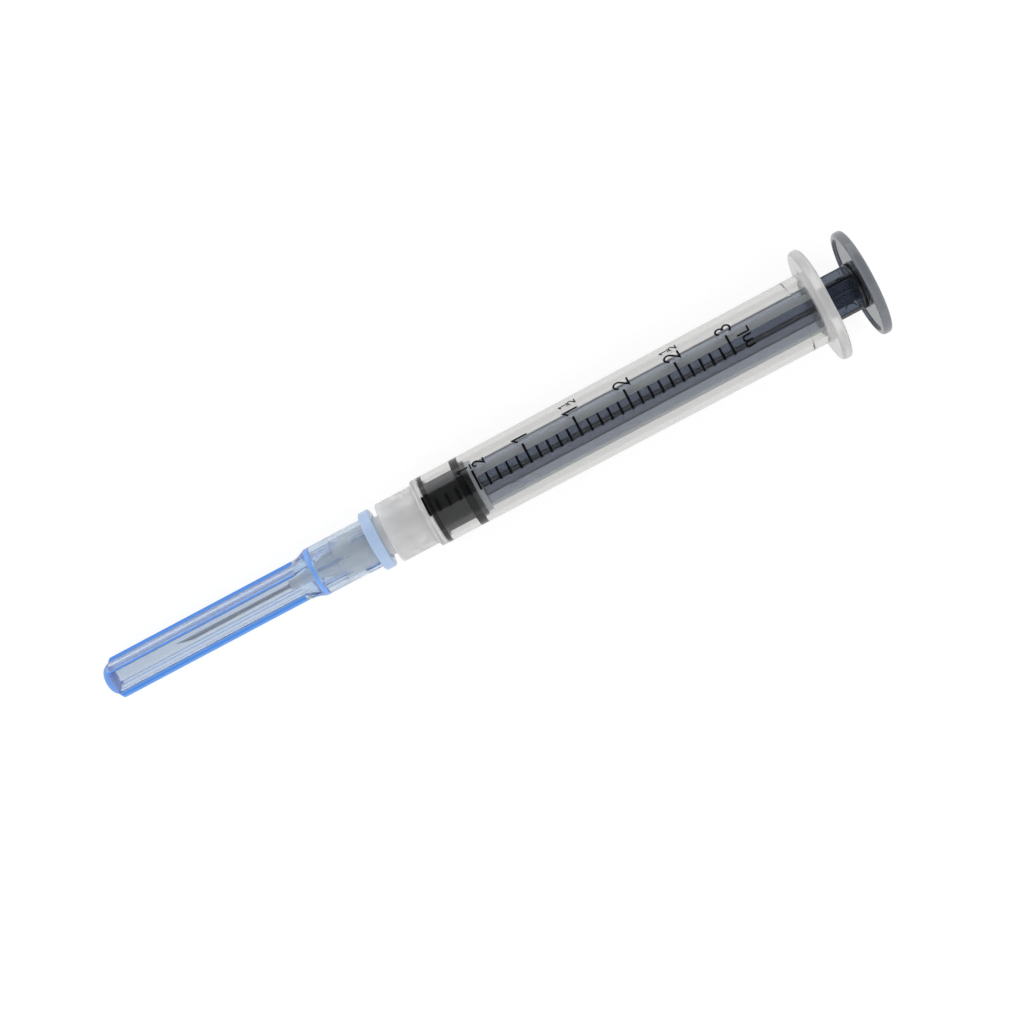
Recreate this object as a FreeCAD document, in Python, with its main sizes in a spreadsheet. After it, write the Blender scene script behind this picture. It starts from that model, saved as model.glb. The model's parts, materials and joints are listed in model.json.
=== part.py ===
import FreeCAD, Part
import math
import os
import re
import Sketcher

# A 3 mL disposable syringe with a luer-lock collar and a capped needle. Millimetres, +Z up.
# Each piece is drawn round its own X axis, with the needle end towards -X and the thumb end towards +X.
# All pieces share one axis. The syringe lies on its flange and on a fin of the sheath, as on a table.

# Every driving size: its name in the sheet, its value, and what it is
SIZES = [
    ("boreDiameter", 8.93, "bore of the barrel, so 0.1 mL takes 1.597 mm of travel"),
    ("barrelLength", 62.8, "end of the bore to the rear face of the flange"),
    ("wall", 0.785, "barrel wall, between 0.69 at the shoulder and 0.88 at the flange"),
    ("endWall", 0.93, "front shoulder to the end of the bore"),
    ("shoulderBevel", 0.2, "bevel of the front shoulder"),
    ("collarBore", 8.0, "root of the thread inside the locking collar"),
    ("collarWall", 0.59, "wall of the locking collar"),
    ("collarLength", 6.12, "front shoulder to the mouth of the collar"),
    ("collarFloor", 0.3, "front shoulder to the floor inside the collar"),
    ("collarBevel", 0.12, "bevel at the mouth of the collar"),
    ("luerTip", 3.95, "outside of the luer tip at its end"),
    ("luerReach", 2.1, "how far the tip stands out of the collar"),
    ("luerTaper", 0.06, "change of diameter for each millimetre of length"),
    ("lumen", 2.2, "passage through the luer tip"),
    ("flangeDiameter", 17.05, "finger flange across its wings"),
    ("flangeFlat", 0.575, "how deep each flat is cut into the flange's rim"),
    ("flangeThickness", 1.4, "thickness of the finger flange"),
    ("flangeCorner", 2.0, "rounding where a wing meets a flat"),
    ("flangeBevel", 0.3, "bevel of the flange's edges"),
    ("flangeRoot", 0.4, "bevel between barrel and flange"),
    ("beadSetback", 4.6, "rear face of the flange to the front of the retaining bead"),
    ("beadWidth", 0.9, "length of the retaining bead"),
    ("beadHeight", 0.12, "how far the bead stands into the bore"),
    ("mouthStep", 0.285, "widening of the bore at its mouth, on the radius"),
    ("mouthDepth", 1.3, "depth of the widened mouth"),
    ("stopperGap", 0.15, "end of the bore to the front of the stopper"),
    ("stopperClearance", 0.02, "gap between the sealing rings and the bore"),
    ("stopperLength", 7.05, "front to rear face of the stopper"),
    ("frontLip", 0.15, "bevel of the front ring"),
    ("frontRing", 0.75, "front of the stopper to the rear of the front ring"),
    ("rearRing", 1.25, "length of the rear ring"),
    ("rearRimLength", 0.6, "length of the rim behind the rear ring"),
    ("waistDepth", 0.615, "gap between the stopper's waist and the bore"),
    ("waistSlope", 0.35, "length of the slope at each end of the waist"),
    ("rimDepth", 0.215, "gap between the stopper's rear rim and the bore"),
    ("neckDiameter", 3.6, "neck of the rod's head"),
    ("neckLength", 2.0, "length of that neck"),
    ("headDiameter", 5.2, "head that the stopper is snapped over"),
    ("headLength", 3.0, "length of the head"),
    ("headClearance", 0.05, "gap between the head and its socket"),
    ("discClearance", 0.53, "gap between the rod's front disc and the bore"),
    ("frontDisc", 0.95, "thickness of that disc"),
    ("finClearance", 0.815, "gap between the rod's fins and the bore"),
    ("rodFin", 1.05, "thickness of the rod's fins"),
    ("rodFillet", 0.3, "fillet where the fins cross"),
    ("bossDiameter", 7.0, "boss under the thumb disc"),
    ("bossLength", 0.8, "length of that boss"),
    ("thumbStandoff", 5.3, "rear face of the flange to the front of the thumb disc"),
    ("thumbDiameter", 16.05, "thumb disc"),
    ("thumbThickness", 1.2, "thickness of the thumb disc"),
    ("thumbBevel", 0.25, "bevel of the thumb disc's edges"),
    ("thumbRim", 0.8, "width of the rim under the thumb disc"),
    ("thumbRimDepth", 0.3, "depth of the recess inside that rim"),
    ("ejectorMark", 2.3, "round marks left by the mould's ejector pins"),
    ("ejectorDepth", 0.08, "depth of those marks"),
    ("ejectorReach", 2.0, "axis of the rod to the centre of a mark"),
    ("ejectorSetback", 5.2, "front of the front disc to the first pair of marks"),
    ("ejectorRear", 2.6, "last pair of marks to the front of the thumb disc"),
    ("luerHold", 5.3, "how far the luer tip sits in the hub"),
    ("luerClearance", 0.012, "gap between the two luer cones"),
    ("luerDepth", 9.5, "depth of the hub's luer cone"),
    ("hubLength", 18.9, "mouth of the hub to its nose"),
    ("hubWall", 0.9, "wall at the mouth of the hub's luer cone"),
    ("hubBevel", 0.2, "lead-in at the mouth of the hub"),
    ("hubStraight", 9.05, "mouth of the hub to where it begins to narrow"),
    ("hubShoulder", 11.15, "mouth of the hub to its front shoulder"),
    ("hubDraft", 0.45, "narrowing up to the front shoulder, on the radius"),
    ("noseRoot", 3.4, "diameter of the nose at the shoulder"),
    ("noseMiddle", 2.2, "diameter of the nose where its cone ends"),
    ("noseCone", 3.45, "length of that cone"),
    ("noseCylinder", 2.2, "length of the thin end of the nose"),
    ("noseLip", 0.175, "plastic round the adhesive in the nose"),
    ("noseRib", 0.5, "thickness of the nose's ribs"),
    ("noseRibHeight", 0.65, "height of those ribs at the shoulder"),
    ("hubPassage", 1.5, "passage between luer cone and needle tube"),
    ("lugClearance", 0.1, "gap between the hub's lugs and the thread's root"),
    ("lugWidth", 3.0, "width of a lug"),
    ("lugThickness", 0.9, "thickness of a lug"),
    ("lugRoll", 20.0, "turn of the lugs in the thread"),
    ("tubeDiameter", 0.64, "outside of the needle tube, 23 gauge"),
    ("tubeBore", 0.33, "inside of the needle tube"),
    ("tubeFree", 18.75, "hub's nose to the needle's point"),
    ("tubeHeld", 5.2, "length of tube inside the hub"),
    ("tubeClearance", 0.01, "gap between the tube and the hub"),
    ("bevelAngle", 12.5, "angle of the ground face to the tube"),
    ("facetAngle", 21.0, "angle of the two side facets at the point"),
    ("facetTurn", 38.0, "turn of the side facets about the tube"),
    ("glueWidth", 0.23, "width of the adhesive round the tube"),
    ("glueDepth", 0.7, "depth of the adhesive in the nose"),
    ("glueDome", 0.2, "height of the adhesive above the nose"),
    ("glueCrown", 0.06, "width of the adhesive's flat top"),
    ("glueSeat", 0.09, "gap between the adhesive and the bottom of its well"),
    ("glueClearance", 0.01, "gap between the adhesive and what it joins"),
    ("sheathGap", 0.85, "mouth of the locking collar to the mouth of the sheath"),
    ("sheathRim", 0.85, "height of the collar round the sheath's mouth"),
    ("sheathRimLength", 1.7, "length of that collar"),
    ("sheathRimBevel", 0.35, "bevel of that collar's edges"),
    ("sleeveClearance", 0.05, "gap between the hub and the sheath"),
    ("sleeveWall", 0.6, "wall of the sleeve"),
    ("sleeveEnd", 0.7, "plastic between the sleeve's bore and the start of the cone"),
    ("sleeveBevel", 0.25, "lead-in at the mouth of the sheath"),
    ("sleeveStep", 0.15, "step in the sleeve's bore at the hub's shoulder"),
    ("splineLength", 3.1, "length of the splines in front of that step"),
    ("splineWidth", 0.36, "thickness of the splines"),
    ("splineClearance", 0.07, "gap between the splines and the hub's shoulder"),
    ("splineRoot", 0.15, "how far the splines run into the sleeve's wall and floor"),
    ("splineCount", 8, "splines inside the sheath"),
    ("flareLength", 2.6, "length of the cone between sleeve and tube"),
    ("capBore", 3.7, "inside of the sheath's tube"),
    ("capWall", 0.65, "wall of the sheath's tube"),
    ("capRoom", 10.1, "needle's point to the closed end of the bore"),
    ("capEnd", 1.0, "thickness of the closed tip"),
    ("capRound", 1.7, "rounding of the closed tip"),
    ("finCount", 4, "fins outside the sheath and ribs on the hub's nose"),
    ("finWidth", 0.7, "thickness of the sheath's long fins"),
    ("finHeight", 0.8, "height of the long fins"),
    ("finSetback", 1.1, "closed tip to the end of the long fins"),
    ("finBevel", 0.6, "bevel at the end of the long fins"),
    ("shortRibWidth", 1.0, "thickness of the short ribs in front of the collar"),
    ("shortRibHeight", 0.35, "height of the short ribs"),
    ("shortRibLength", 2.1, "length of the short ribs"),
    ("shortRibBevel", 0.3, "bevel at the front of the short ribs"),
    ("finRoll", 28.0, "turn of the uppermost fin away from straight up"),
]

size = {name: value for name, value, note in SIZES}

# How near an edge must be to a place or a radius to be picked
near = 0.01

# Places and radii that several pieces share, as expressions of the sheet
BORE = "boreDiameter / 2"
COLLAR_MOUTH = "-(endWall + collarLength)"
TIP_END = "-(endWall + collarLength + luerReach)"
COLLAR_FLOOR = "-(endWall + collarFloor)"
HUB_MOUTH_BORE = "((luerTip + luerTaper * luerHold) / 2 + luerClearance)"
HUB_RADIUS = f"({HUB_MOUTH_BORE} + hubWall)"
HUB_SHOULDER_RADIUS = f"({HUB_RADIUS} - hubDraft)"
HUB_OUTSIDE_SHEATH = "(luerHold - luerReach + sheathGap)"
SLEEVE_BORE = f"({HUB_RADIUS} + sleeveClearance)"
SLEEVE_STEP = f"(hubShoulder - {HUB_OUTSIDE_SHEATH})"
SLEEVE_FLOOR = f"({SLEEVE_STEP} + splineLength)"
SLEEVE_FRONT = f"({SLEEVE_FLOOR} + sleeveEnd)"
SHEATH_BORE_END = f"(hubLength + tubeFree - {HUB_OUTSIDE_SHEATH} + capRoom)"
SHEATH_END = f"({SHEATH_BORE_END} + capEnd)"
CAP_RADIUS = "(capBore / 2 + capWall)"
ROD_LENGTH = "(barrelLength + thumbStandoff + thumbThickness - stopperGap - stopperLength)"
THUMB_FRONT = f"({ROD_LENGTH} - thumbThickness)"
BOSS_FRONT = f"({THUMB_FRONT} - bossLength)"


# The sheet that drives the document
def fillSheet(doc):
    sheet = doc.addObject("Spreadsheet::Sheet", "Sizes")
    for row, (name, value, note) in enumerate(SIZES, start=1):
        sheet.set(f"A{row}", name)
        sheet.set(f"B{row}", str(value))
        sheet.setAlias(f"B{row}", name)
        sheet.set(f"C{row}", note)
    doc.recompute()


# Points the names in an expression at the sheet
def cells(expression):
    return re.sub(r"[A-Za-z]\w*", lambda word: ("Sizes." if word[0] in size else "") + word[0], expression)


# One of the body's own planes or axes
def originPart(body, role):
    return [feature for feature in body.Origin.OriginFeatures if feature.Role == role][0]


# A sketch on one of the body's own planes, moved along its normal or turned about its first axis
def sketchOn(body, name, role="XY_Plane", offset=None, turn=None):
    sketch = body.newObject("Sketcher::SketchObject", name)
    sketch.AttachmentSupport = (originPart(body, role), [""])
    sketch.MapMode = "FlatFace"
    if turn:
        firstAxis = FreeCAD.Vector(1, 0, 0)
        sketch.AttachmentOffset = FreeCAD.Placement(FreeCAD.Vector(), FreeCAD.Rotation(firstAxis, 1))
        sketch.setExpression("AttachmentOffset.Rotation.Angle", cells(turn))
    if offset:
        sketch.setExpression("AttachmentOffset.Base.z", cells(offset))
    return sketch


# Ties a point of a sketch to two expressions, measured from the sketch's origin
def tie(sketch, edge, point, across, up):
    for kind, expression in (("DistanceX", across), ("DistanceY", up)):
        constraint = sketch.addConstraint(Sketcher.Constraint(kind, -1, 1, edge, point, 0.0))
        sketch.renameConstraint(constraint, f"{kind}{edge}")
        sketch.setExpression(f"Constraints.{kind}{edge}", cells(expression))


# A closed outline of straight edges through corners, each a pair of expressions
def outline(sketch, corners):
    first = sketch.GeometryCount
    count = len(corners)
    angles = [2 * math.pi * index / count for index in range(count)]
    start = [FreeCAD.Vector(math.cos(angle), math.sin(angle), 0) for angle in angles]
    for index in range(count):
        sketch.addGeometry(Part.LineSegment(start[index], start[(index + 1) % count]))
    for index in range(count):
        following = first + (index + 1) % count
        sketch.addConstraint(Sketcher.Constraint("Coincident", first + index, 2, following, 1))
    for index, (across, up) in enumerate(corners):
        tie(sketch, first + index, 1, across, up)
    return sketch


# A circle with its centre and radius given as expressions
def circle(sketch, across, up, radius):
    edge = sketch.addGeometry(Part.Circle(FreeCAD.Vector(), FreeCAD.Vector(0, 0, 1), 1.0))
    tie(sketch, edge, 3, across, up)
    constraint = sketch.addConstraint(Sketcher.Constraint("Radius", edge, 1.0))
    sketch.renameConstraint(constraint, f"Radius{edge}")
    sketch.setExpression(f"Constraints.Radius{edge}", cells(radius))
    return sketch


# A round outline cut flat above and below, drawn at its true radius and height before it is tied
def flattedDisc(sketch, trueRadius, trueHeight, radius, height):
    normal = FreeCAD.Vector(0, 0, 1)
    corner = math.asin(trueHeight / trueRadius)
    turns = (corner, math.pi - corner, math.pi + corner, -corner)
    ends = [FreeCAD.Vector(math.cos(turn), math.sin(turn), 0).multiply(trueRadius) for turn in turns]
    rim = Part.Circle(FreeCAD.Vector(), normal, trueRadius)
    sketch.addGeometry(Part.ArcOfCircle(rim, -corner, corner))
    sketch.addGeometry(Part.LineSegment(ends[0], ends[1]))
    sketch.addGeometry(Part.ArcOfCircle(rim, math.pi - corner, math.pi + corner))
    sketch.addGeometry(Part.LineSegment(ends[2], ends[3]))
    for edge in range(4):
        sketch.addConstraint(Sketcher.Constraint("Coincident", edge, 2, (edge + 1) % 4, 1))
    for arc in (0, 2):
        sketch.addConstraint(Sketcher.Constraint("Coincident", arc, 3, -1, 1))
        sketch.addConstraint(Sketcher.Constraint("Horizontal", arc + 1))
    sketch.addConstraint(Sketcher.Constraint("Equal", 0, 2))
    radiusTie = sketch.addConstraint(Sketcher.Constraint("Radius", 0, trueRadius))
    topTie = sketch.addConstraint(Sketcher.Constraint("DistanceY", -1, 1, 1, 1, trueHeight))
    bottomTie = sketch.addConstraint(Sketcher.Constraint("DistanceY", -1, 1, 3, 1, -trueHeight))
    for constraint, name, expression in ((radiusTie, "Reach", radius), (topTie, "Top", height),
                                         (bottomTie, "Bottom", f"-({height})")):
        sketch.renameConstraint(constraint, name)
        sketch.setExpression("Constraints." + name, cells(expression))
    return sketch


# Turns an outline round the body's X axis, to add material or to cut it away
def turned(body, name, sketch, cut=False):
    feature = body.newObject("PartDesign::Groove" if cut else "PartDesign::Revolution", name)
    feature.Profile = sketch
    feature.ReferenceAxis = (originPart(body, "X_Axis"), [""])
    feature.Angle = 360
    body.Document.recompute()
    return feature


# Raises an outline along its normal, or cuts it away against its normal
def extruded(body, name, sketch, length, cut=False, middle=False, backwards=False):
    feature = body.newObject("PartDesign::Pocket" if cut else "PartDesign::Pad", name)
    feature.Profile = sketch
    feature.setExpression("Length", cells(length))
    feature.Midplane = middle
    feature.Reversed = backwards
    body.Document.recompute()
    return feature


# Repeats a feature evenly round the body's X axis
def repeated(body, name, feature, count):
    pattern = body.newObject("PartDesign::PolarPattern", name)
    pattern.Originals = [feature]
    pattern.Axis = (originPart(body, "X_Axis"), [""])
    pattern.Angle = 360
    pattern.setExpression("Occurrences", cells(count))
    body.Tip = pattern
    body.Document.recompute()
    return pattern


# Rounds or bevels those edges of a feature that a test picks
def eased(body, name, feature, radius, wanted, bevel=False):
    edges = [f"Edge{number}" for number, edge in enumerate(feature.Shape.Edges, start=1)
             if not edge.Degenerated and wanted(edge)]
    dressed = body.newObject("PartDesign::Chamfer" if bevel else "PartDesign::Fillet", name)
    dressed.Base = (feature, edges)
    dressed.setExpression("Size" if bevel else "Radius", cells(radius))
    body.Document.recompute()
    return dressed


# Picks edges that lie across the axis at a given place, at least so far from the axis
def across(place, beyond):
    def test(edge):
        points = edge.discretize(5)
        return all(abs(point.x - place) < 1e-4 and math.hypot(point.y, point.z) > beyond for point in points)
    return test


# Picks edges parallel to the axis, with their distance from it between two limits
def along(low, high):
    def test(edge):
        points = edge.discretize(3)
        reach = [math.hypot(point.y, point.z) for point in points]
        level = abs(points[0].y - points[-1].y) + abs(points[0].z - points[-1].z) < 1e-4
        return level and low < min(reach) and max(reach) < high
    return test


# Barrel: bore, shoulder, locking collar and luer tip are one moulding with the finger flange
def makeBarrel(doc):
    body = doc.addObject("PartDesign::Body", "barrel")
    outside = outline(sketchOn(body, "barrelOutside"), [
        (TIP_END, "0"),
        (TIP_END, "luerTip / 2"),
        (COLLAR_FLOOR, "(luerTip + luerTaper * (luerReach + collarLength - collarFloor)) / 2"),
        (COLLAR_FLOOR, "collarBore / 2"),
        (COLLAR_MOUTH, "collarBore / 2"),
        (COLLAR_MOUTH, "collarBore / 2 + collarWall"),
        ("-endWall", "collarBore / 2 + collarWall"),
        ("-endWall", f"{BORE} + wall"),
        ("barrelLength", f"{BORE} + wall"),
        ("barrelLength", "0"),
    ])
    shell = turned(body, "barrelShell", outside)
    radius = size["boreDiameter"] / 2 + size["wall"]
    shoulder = eased(body, "barrelShoulder", shell, "shoulderBevel",
                     across(-size["endWall"], radius - near), bevel=True)
    eased(body, "collarEdge", shoulder, "collarBevel",
          across(-size["endWall"] - size["collarLength"], size["collarBore"] / 2 - near), bevel=True)
    wing = size["flangeDiameter"] / 2
    flats = wing - size["flangeFlat"]
    wings = flattedDisc(sketchOn(body, "flangeOutline", "YZ_Plane", "barrelLength - flangeThickness"),
                        wing, flats, "flangeDiameter / 2", "flangeDiameter / 2 - flangeFlat")
    flange = extruded(body, "flange", wings, "flangeThickness")
    corners = eased(body, "flangeCorners", flange, "flangeCorner", along(flats, size["flangeDiameter"]))
    front = size["barrelLength"] - size["flangeThickness"]
    rims = eased(body, "flangeEdges", corners, "flangeBevel",
                 lambda edge: (across(front, flats - near)(edge)
                               or across(size["barrelLength"], flats - near)(edge)), bevel=True)
    eased(body, "flangeFoot", rims, "flangeRoot",
          lambda edge: across(front, radius - near)(edge) and not across(front, radius + near)(edge),
          bevel=True)
    hollow = outline(sketchOn(body, "barrelHollow"), [
        (TIP_END, "0"),
        (TIP_END, "lumen / 2"),
        ("0", "lumen / 2"),
        ("0", BORE),
        ("barrelLength - beadSetback", BORE),
        ("barrelLength - beadSetback + beadWidth / 2", f"{BORE} - beadHeight"),
        ("barrelLength - beadSetback + beadWidth", BORE),
        ("barrelLength - mouthDepth - mouthStep", BORE),
        ("barrelLength - mouthDepth", f"{BORE} + mouthStep"),
        ("barrelLength", f"{BORE} + mouthStep"),
        ("barrelLength", "0"),
    ])
    turned(body, "barrelBore", hollow, cut=True)
    return body


# Stopper: two sealing rings with a waist between them, and a socket for the rod's head
def makeStopper(doc):
    body = doc.addObject("PartDesign::Body", "stopper")
    ring = f"{BORE} - stopperClearance"
    waist = f"{BORE} - waistDepth"
    rearRing = "stopperLength - rearRimLength - rearRing"
    outside = outline(sketchOn(body, "stopperOutside"), [
        ("0", "0"),
        ("0", f"{ring} - frontLip"),
        ("frontLip", ring),
        ("frontRing", ring),
        ("frontRing + waistSlope", waist),
        (f"{rearRing} - waistSlope", waist),
        (rearRing, ring),
        ("stopperLength - rearRimLength", ring),
        ("stopperLength - rearRimLength", f"{BORE} - rimDepth"),
        ("stopperLength", f"{BORE} - rimDepth"),
        ("stopperLength", "0"),
    ])
    turned(body, "stopperRubber", outside)
    headFront = "stopperLength - neckLength - headLength - headClearance"
    socket = outline(sketchOn(body, "stopperSocket"), [
        (headFront, "0"),
        (headFront, "headDiameter / 2 + headClearance"),
        ("stopperLength - neckLength + headClearance", "headDiameter / 2 + headClearance"),
        ("stopperLength - neckLength + headClearance", "neckDiameter / 2 + headClearance"),
        ("stopperLength", "neckDiameter / 2 + headClearance"),
        ("stopperLength", "0"),
    ])
    turned(body, "stopperHollow", socket, cut=True)
    return body


# Plunger rod: head, front disc, four fins, boss and thumb disc
def makeRod(doc):
    body = doc.addObject("PartDesign::Body", "plunger_rod")
    head = outline(sketchOn(body, "rodHead"), [
        ("-(neckLength + headLength)", "0"),
        ("-(neckLength + headLength)", "headDiameter / 2"),
        ("-neckLength", "headDiameter / 2"),
        ("-neckLength", "neckDiameter / 2"),
        ("0", "neckDiameter / 2"),
        ("0", f"{BORE} - discClearance"),
        ("frontDisc", f"{BORE} - discClearance"),
        ("frontDisc", "0"),
    ])
    turned(body, "rodFront", head)
    tip = f"({BORE} - finClearance)"
    web = "rodFin / 2"
    cross = outline(sketchOn(body, "rodSection", "YZ_Plane", "frontDisc"), [
        (tip, web), (web, web), (web, tip), (f"-{web}", tip), (f"-{web}", web), (f"-{tip}", web),
        (f"-{tip}", f"-{web}"), (f"-{web}", f"-{web}"), (f"-{web}", f"-{tip}"), (web, f"-{tip}"),
        (web, f"-{web}"), (tip, f"-{web}"),
    ])
    fins = extruded(body, "rodFins", cross, f"{BOSS_FRONT} - frontDisc")
    crossing = size["rodFin"] / 2 * math.sqrt(2)
    eased(body, "rodRoots", fins, "rodFillet", along(crossing - near, crossing + near))
    thumb = outline(sketchOn(body, "rodThumb"), [
        (BOSS_FRONT, "0"),
        (BOSS_FRONT, "bossDiameter / 2"),
        (f"{THUMB_FRONT} + thumbRimDepth", "bossDiameter / 2"),
        (f"{THUMB_FRONT} + thumbRimDepth", "thumbDiameter / 2 - thumbRim"),
        (THUMB_FRONT, "thumbDiameter / 2 - thumbRim"),
        (THUMB_FRONT, "thumbDiameter / 2"),
        (ROD_LENGTH, "thumbDiameter / 2"),
        (ROD_LENGTH, "0"),
    ])
    disc = turned(body, "thumbDisc", thumb)
    rear = size["barrelLength"] + size["thumbStandoff"] + size["thumbThickness"]
    rear -= size["stopperGap"] + size["stopperLength"]
    edge = size["thumbDiameter"] / 2 - near
    eased(body, "thumbEdges", disc, "thumbBevel",
          lambda ring: across(rear, edge)(ring) or across(rear - size["thumbThickness"], edge)(ring),
          bevel=True)
    marks = sketchOn(body, "ejectorMarks", offset="rodFin / 2")
    for place in ("ejectorSetback", f"{THUMB_FRONT} - ejectorRear"):
        for side in ("ejectorReach", "-ejectorReach"):
            circle(marks, place, side, "ejectorMark / 2")
    extruded(body, "ejectorRecess", marks, "ejectorDepth", cut=True)
    return body


# Needle hub: luer cone with two lugs, a straight grip, a ribbed nose and a well for adhesive
def makeHub(doc):
    body = doc.addObject("PartDesign::Body", "needle_hub")
    well = "(tubeDiameter / 2 + glueWidth)"
    coneEnd = "-(hubShoulder + noseCone)"
    outside = outline(sketchOn(body, "hubOutside"), [
        ("-hubLength", "0"),
        ("-hubLength", f"{well} + noseLip"),
        ("-(hubLength - noseCylinder)", f"{well} + noseLip"),
        (coneEnd, "noseMiddle / 2"),
        ("-hubShoulder", "noseRoot / 2"),
        ("-hubShoulder", HUB_SHOULDER_RADIUS),
        ("-hubStraight", HUB_RADIUS),
        ("-hubBevel", HUB_RADIUS),
        ("0", f"{HUB_RADIUS} - hubBevel"),
        ("0", "0"),
    ])
    turned(body, "hubBody", outside)
    rib = outline(sketchOn(body, "noseRibOutline"), [
        ("-hubShoulder", "0"),
        ("-hubShoulder", "noseRoot / 2 + noseRibHeight"),
        (coneEnd, "noseMiddle / 2"),
        (coneEnd, "0"),
    ])
    repeated(body, "noseRibs", extruded(body, "noseRib", rib, "noseRib", middle=True), "finCount")
    reach = size["collarBore"] / 2 - size["lugClearance"]
    lugs = flattedDisc(sketchOn(body, "lugOutline", "YZ_Plane"), reach, size["lugWidth"] / 2,
                       "collarBore / 2 - lugClearance", "lugWidth / 2")
    extruded(body, "hubLugs", lugs, "lugThickness", backwards=True)
    hollow = outline(sketchOn(body, "hubHollow"), [
        ("0", "0"),
        ("0", HUB_MOUTH_BORE),
        ("-luerDepth", f"{HUB_MOUTH_BORE} - luerTaper * luerDepth / 2"),
        ("-luerDepth", "hubPassage / 2"),
        ("-(hubLength - tubeHeld)", "hubPassage / 2"),
        ("-(hubLength - tubeHeld)", "tubeDiameter / 2 + tubeClearance"),
        ("-(hubLength - glueDepth)", "tubeDiameter / 2 + tubeClearance"),
        ("-hubLength", well),
        ("-hubLength", "0"),
    ])
    turned(body, "hubBore", hollow, cut=True)
    return body


# Needle tube: its point is at the origin, ground by one long face and two side facets
def makeCannula(doc):
    body = doc.addObject("PartDesign::Body", "cannula")
    radius = "tubeDiameter / 2"
    section = circle(sketchOn(body, "tubeSection", "YZ_Plane"), "0", "0", radius)
    circle(section, "0", "0", "tubeBore / 2")
    extruded(body, "tube", section, "tubeFree + tubeHeld")
    grinds = [("bevel", None, "bevelAngle", radius),
              ("facetLeft", "facetTurn", "facetAngle", f"{radius} * cos(facetTurn * 1 deg)"),
              ("facetRight", "-facetTurn", "facetAngle", f"{radius} * cos(facetTurn * 1 deg)")]
    for name, turn, angle, top in grinds:
        face = outline(sketchOn(body, name + "Outline", turn=turn), [
            ("0", top),
            (f"({top} + tubeDiameter) / tan({angle} * 1 deg)", "-tubeDiameter"),
            ("-tubeDiameter", "-tubeDiameter"),
            ("-tubeDiameter", top),
        ])
        extruded(body, name, face, "tubeDiameter * 2", cut=True, middle=True)
    return body


# Adhesive: fills the well in the hub's nose, round the tube
def makeGlue(doc):
    body = doc.addObject("PartDesign::Body", "glue_bead")
    inner = "tubeDiameter / 2 + glueClearance"
    outer = "tubeDiameter / 2 + glueWidth - glueClearance"
    bead = outline(sketchOn(body, "glueOutline"), [
        ("-glueDome", inner),
        ("-glueDome", f"{inner} + glueCrown"),
        ("0", outer),
        ("glueDepth - glueSeat", inner),
    ])
    turned(body, "glueFill", bead)
    return body


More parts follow.
